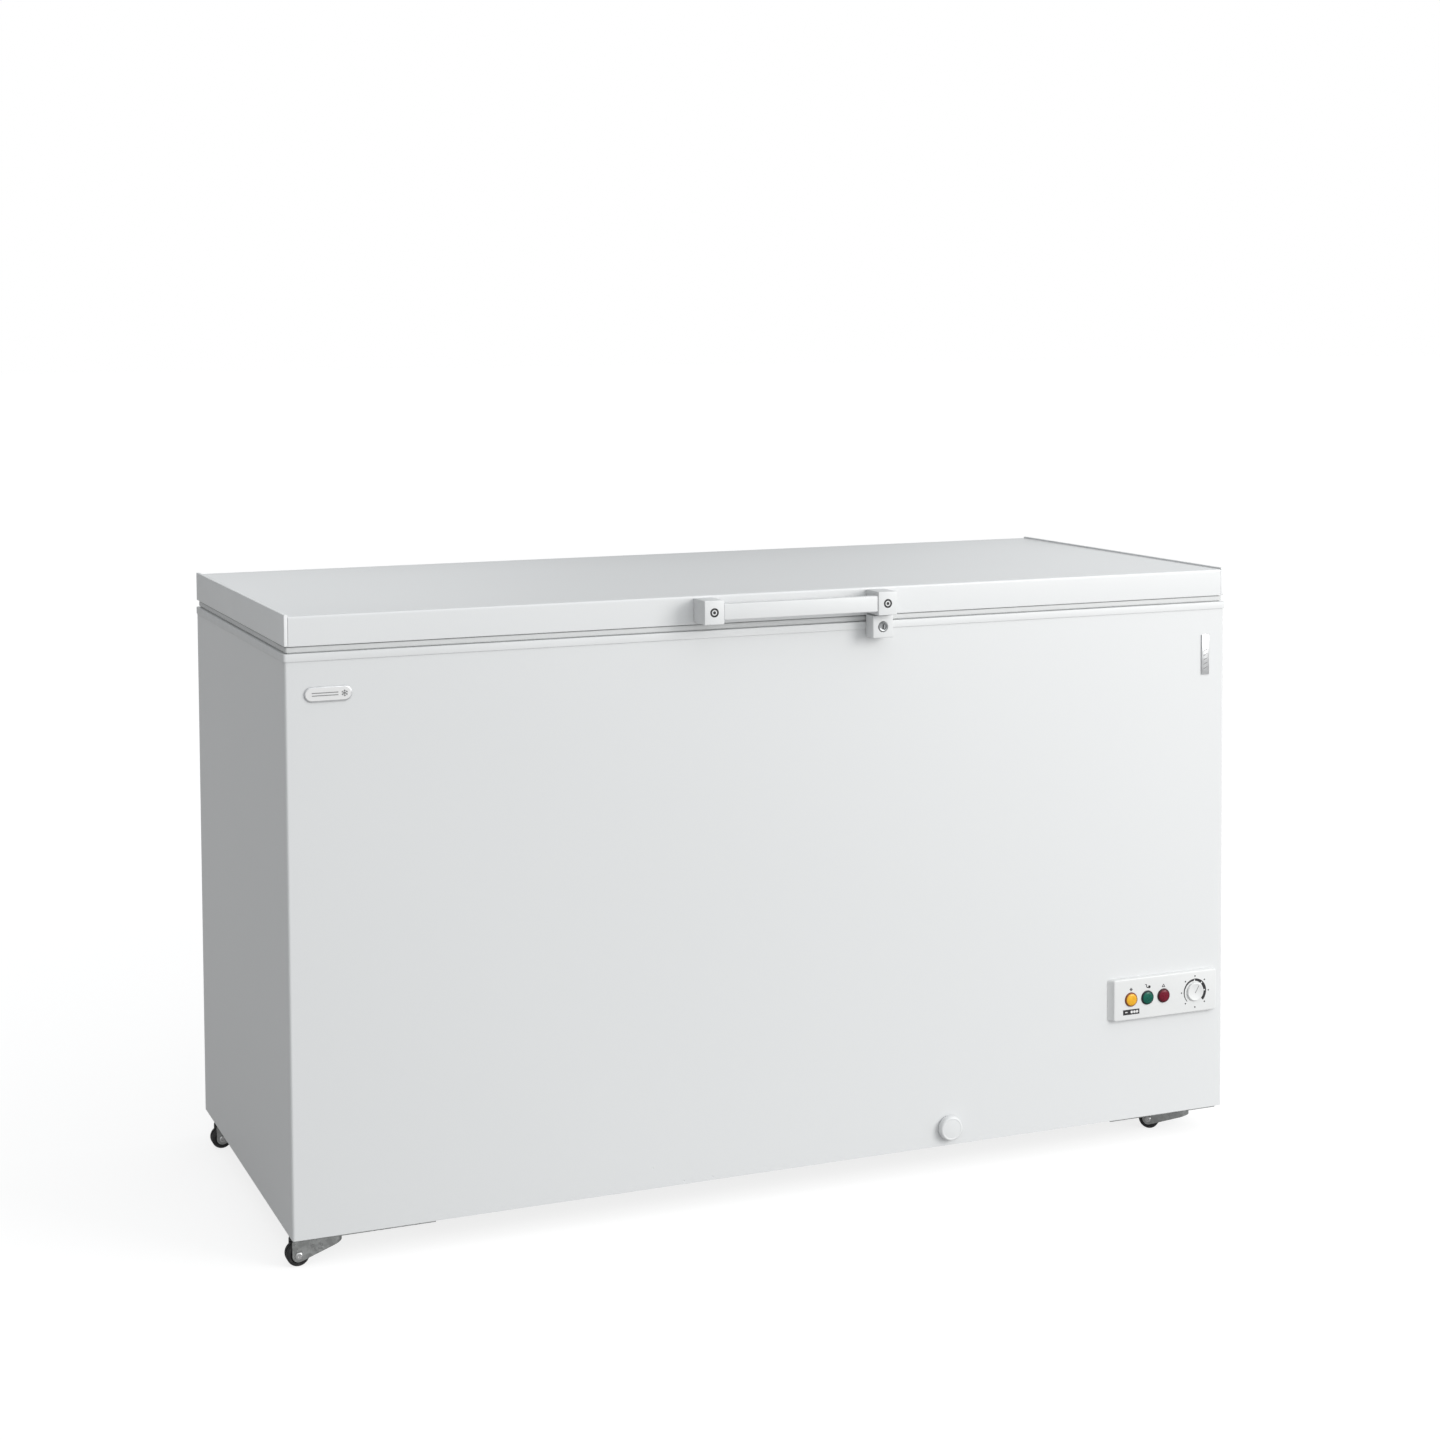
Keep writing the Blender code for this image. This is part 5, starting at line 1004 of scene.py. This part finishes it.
def make_rail(side):
    low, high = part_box(f"caster_rail_{side}")
    sheet_top = high.z
    sheet_low = high.z - 0.002
    bm = bmesh.new()
    add_rounded_box(bm, (low.x, low.y, sheet_low), (high.x, high.y, sheet_top), 0.0006, 2)
    sign = -1 if side == "left" else 1
    joints = {joint["name"]: joint for joint in frame["joints"]}
    for row in ("front", "rear"):
        pivot = Vector(joints[f"wheel_swivel_{row}_{side}"]["pos_m"])
        fork_low = span(f"caster_{row}_{side}_fork")[1].z - 0.0015
        profile = [(0.0, sheet_low + 0.001), (0.004, sheet_low + 0.001), (0.004, fork_low - 0.0003),
                   (0.0062, fork_low - 0.0003), (0.0068, fork_low - 0.0009), (0.0060, fork_low - 0.0021),
                   (0.0040, fork_low - 0.0023), (0.0, fork_low - 0.0023)]
        add_lathe(bm, profile, (pivot.x, pivot.y, 0.0), (0, 0, 1), 28)
    place_piece(f"caster_rail_{side}_strap", bm, ZINC, "cabinet", (f"caster_rail_{side}",))
    bm = bmesh.new()
    edge = low.x if sign < 0 else high.x
    for reach in (0.108, 0.154):
        x = edge - sign * reach
        for y in (low.y + 0.008, high.y - 0.008):
            add_screw(bm, (x, y, sheet_low), (0, 0, -1), 0.0042)
    place_piece(f"caster_rail_{side}_screws", bm, PLATED, "cabinet", ())


# ---------------------------------------------------------------- rear and machine room
def make_rear():
    low, high, middle = span("rear_grille")
    bm = rounded_box(low, high, 0.0009, 2, lambda edge: all(v.co.y > middle.y for v in edge.verts))
    grille = place_piece("rear_grille_frame", bm, BLACK, "cabinet", ("rear_grille",))
    edge = 0.014
    slots, tall = 7, high.z - low.z - 2 * edge
    tools = []
    for number in range(slots):
        z = low.z + edge + tall / slots * (number + 0.25)
        columns = 3
        wide = (high.x - low.x - 2 * edge - 0.008 * (columns - 1)) / columns
        for column in range(columns):
            x = low.x + edge + column * (wide + 0.008)
            tools.append(cutter(rounded_box((x, low.y - 0.01, z), (x + wide, high.y + 0.01, z + tall / slots * 0.5),
                                            0.004, 3, lambda e: abs(e.verts[0].co.y - e.verts[1].co.y) > 0.001)))
    carve(grille, tools)
    bm = bmesh.new()
    for x in (low.x + 0.006, high.x - 0.006):
        for z in (low.z + 0.006, high.z - 0.006):
            add_screw(bm, (x, high.y, z), (0, 1, 0), 0.0032)
    place_piece("rear_grille_screws", bm, PLATED, "cabinet", ())

    low, high, middle = span("cord_gland")
    start = high.y - 0.014
    profile = [(0.0040, 0.0140), (0.0062, 0.0140), (0.0067, 0.0130), (0.0064, 0.0112), (0.0070, 0.0104),
               (0.0066, 0.0086), (0.0072, 0.0078), (0.0068, 0.0060), (0.0076, 0.0036), (0.0086, 0.0030),
               (0.0090, 0.0024), (0.0090, 0.0003), (0.0064, 0.0003), (0.0064, -0.0060), (0.0040, -0.0060)]
    bm = lathe(profile, (middle.x, start, middle.z), (0, 1, 0), 36, closed=True)
    place_piece("cord_gland_sleeve", bm, BLACK, "cabinet", ("cord_gland",), 40)

    recolour(ENAMEL, "compressor")
    recolour(PAD_RUBBER, "compressor_mount_pad")
    recolour(BLACK, "start_relay_box")
    recolour(COPPER, "evaporator_coil", "condenser_coil", "filter_drier")
    recolour(ZINC, "base_pan", "machine_room_panel")


def make_hinges():
    for side in ("left", "right"):
        recolour(ZINC, f"hinge_{side}_base", f"hinge_{side}_arm")
        recolour(PLATED, f"hinge_{side}_pin", f"hinge_{side}_spring")
        low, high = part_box(f"hinge_{side}_base")
        bm = bmesh.new()
        plate = REAR + 0.003
        for x in (low.x + 0.014, high.x - 0.014):
            for z in (low.z + 0.014, low.z + 0.045):
                add_screw(bm, (x, plate, z), (0, 1, 0), 0.0042)
        place_piece(f"hinge_{side}_base_screws", bm, PLATED, "cabinet", ())
        arm_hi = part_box(f"hinge_{side}_arm")[1]
        flange = SHELL_HI.y + 0.0033
        bm = bmesh.new()
        for x in (low.x + 0.008, high.x - 0.008):
            add_screw(bm, (x, flange, (SHELL_LO.z + 0.006 + arm_hi.z) / 2), (0, 1, 0), 0.0036)
        place_piece(f"hinge_{side}_arm_screws", bm, PLATED, "lid", ())


# ---------------------------------------------------------------- stage
FLOOR_SEEN, FLOOR_BOUNCE = (0.30, 0.79), (0.25, 0.255)      # (reflectance, glow)
# The room's light as soft patches: (azimuth, elevation, cosine where it begins, strength).
ROOM = ((5, 8, 0.93, 0.63), (40, 8, 0.93, 0.72), (0, 10, 0.5, 0.18), (45, 10, 0.5, 0.19),
        (90, 10, 0.5, 0.375), (130, 10, 0.5, 0.425), (170, 10, 0.5, 0.44), (210, 10, 0.5, 0.375),
        (270, 10, 0.5, 0.255), (0, 50, 0.55, 0.08), (90, 50, 0.55, 0.355), (150, 50, 0.55, 0.445),
        (210, 50, 0.55, 0.355), (0, 90, 0.6, 0.295))
KEY_PLACE, KEY_TARGET = Vector((2.9, -3.6, 1.9)), Vector((0.2, -0.2, 0.5))
KEY_SIZE, KEY_POWER = 2.2, 107.0


def floor_material():
    """Seen white; what it throws back on the object is the softer light of a studio floor."""
    made = bpy.data.materials.new("stage_white")
    made.use_nodes = True
    tree = made.node_tree
    tree.nodes.clear()
    shaders = []
    for reflectance, glow in (FLOOR_BOUNCE, FLOOR_SEEN):
        diffuse = tree.nodes.new("ShaderNodeBsdfDiffuse")
        diffuse.inputs["Color"].default_value = (reflectance, reflectance, reflectance, 1.0)
        light = tree.nodes.new("ShaderNodeEmission")
        light.inputs["Strength"].default_value = glow
        both = tree.nodes.new("ShaderNodeAddShader")
        tree.links.new(diffuse.outputs[0], both.inputs[0])
        tree.links.new(light.outputs[0], both.inputs[1])
        shaders.append(both.outputs[0])
    mix_seen(tree, shaders[0], shaders[1], tree.nodes.new("ShaderNodeOutputMaterial"))
    return made


def mix_seen(tree, unseen, seen, output):
    path = tree.nodes.new("ShaderNodeLightPath")
    mix = tree.nodes.new("ShaderNodeMixShader")
    tree.links.new(path.outputs["Is Camera Ray"], mix.inputs["Fac"])
    tree.links.new(unseen, mix.inputs[1])
    tree.links.new(seen, mix.inputs[2])
    tree.links.new(mix.outputs["Shader"], output.inputs["Surface"])


def make_floor():
    bm = bmesh.new()
    bmesh.ops.create_grid(bm, x_segments=1, y_segments=1, size=60.0)
    mesh = bpy.data.meshes.new("floor")
    bm.to_mesh(mesh)
    bm.free()
    floor = bpy.data.objects.new("floor", mesh)
    floor.location.z = -0.0005
    bpy.context.scene.collection.objects.link(floor)
    mesh.materials.append(floor_material())


def make_world():
    """White backdrop, with soft light from the room's patches."""
    world = bpy.data.worlds.new("studio")
    world.use_nodes = True
    tree = world.node_tree
    tree.nodes.clear()
    backdrop = tree.nodes.new("ShaderNodeBackground")
    backdrop.inputs["Color"].default_value = (1.0, 1.0, 1.0, 1.0)
    room = tree.nodes.new("ShaderNodeBackground")
    room.inputs["Color"].default_value = (0.972, 0.99, 1.0, 1.0)
    direction = tree.nodes.new("ShaderNodeTexCoord").outputs["Generated"]
    total = None
    for azimuth, elevation, start, strength in ROOM:
        turn, rise = math.radians(azimuth), math.radians(elevation)
        dot = tree.nodes.new("ShaderNodeVectorMath")
        dot.operation = "DOT_PRODUCT"
        dot.inputs[1].default_value = (math.sin(turn) * math.cos(rise), math.cos(turn) * math.cos(rise), math.sin(rise))
        tree.links.new(direction, dot.inputs[0])
        patch = tree.nodes.new("ShaderNodeMapRange")
        patch.interpolation_type = "SMOOTHSTEP"
        for key, value in (("From Min", start), ("From Max", 1.0), ("To Min", 0.0), ("To Max", strength)):
            patch.inputs[key].default_value = value
        tree.links.new(dot.outputs["Value"], patch.inputs["Value"])
        if total is None:
            total = patch.outputs["Result"]
            continue
        add = tree.nodes.new("ShaderNodeMath")
        add.operation = "ADD"
        tree.links.new(total, add.inputs[0])
        tree.links.new(patch.outputs["Result"], add.inputs[1])
        total = add.outputs["Value"]
    tree.links.new(total, room.inputs["Strength"])
    mix_seen(tree, room.outputs[0], backdrop.outputs[0], tree.nodes.new("ShaderNodeOutputWorld"))
    bpy.context.scene.world = world
    bpy.context.scene.view_settings.view_transform = "Standard"


def make_key_light():
    """Large soft light to the front right, which gives the drain cap and the handle their shadows."""
    light = bpy.data.lights.new("key", "AREA")
    light.shape = "RECTANGLE"
    light.size, light.size_y = KEY_SIZE, KEY_SIZE
    light.energy = KEY_POWER
    light.color = (1.0, 0.985, 0.965)
    made = bpy.data.objects.new("key", light)
    made.location = KEY_PLACE
    made.rotation_euler = (KEY_TARGET - KEY_PLACE).to_track_quat("-Z", "Y").to_euler()
    bpy.context.scene.collection.objects.link(made)


def make_camera():
    """Upright view from the front left; the shift frames the freezer above the middle of the picture."""
    data = bpy.data.cameras.new("camera")
    data.sensor_width = 36.0
    data.lens = 62.15
    data.shift_x, data.shift_y = -0.0007, -0.1868
    data.clip_start, data.clip_end = 0.05, 200.0
    camera = bpy.data.objects.new("camera", data)
    yaw, pitch, roll = math.radians(22.42), math.radians(3.0), math.radians(-0.32)
    ahead = Vector((math.sin(yaw) * math.cos(pitch), math.cos(yaw) * math.cos(pitch), -math.sin(pitch)))
    camera.rotation_mode = "QUATERNION"
    camera.rotation_quaternion = ahead.to_track_quat("-Z", "Y") @ Matrix.Rotation(roll, 4, "Z").to_quaternion()
    camera.location = (-1.379, -3.3835, 1.211)
    bpy.context.scene.collection.objects.link(camera)
    bpy.context.scene.camera = camera


make_floor()
make_world()
make_key_light()
make_camera()
make_wrap()
make_back_panel()
make_collar()
make_liner()
make_lid()
make_handle()
make_lock()
make_controls()
make_badges()
make_drain()
for caster in ("front_left", "front_right", "rear_left", "rear_right"):
    make_caster(caster)
for end in ("left", "right"):
    make_rail(end)
make_rear()
make_hinges()
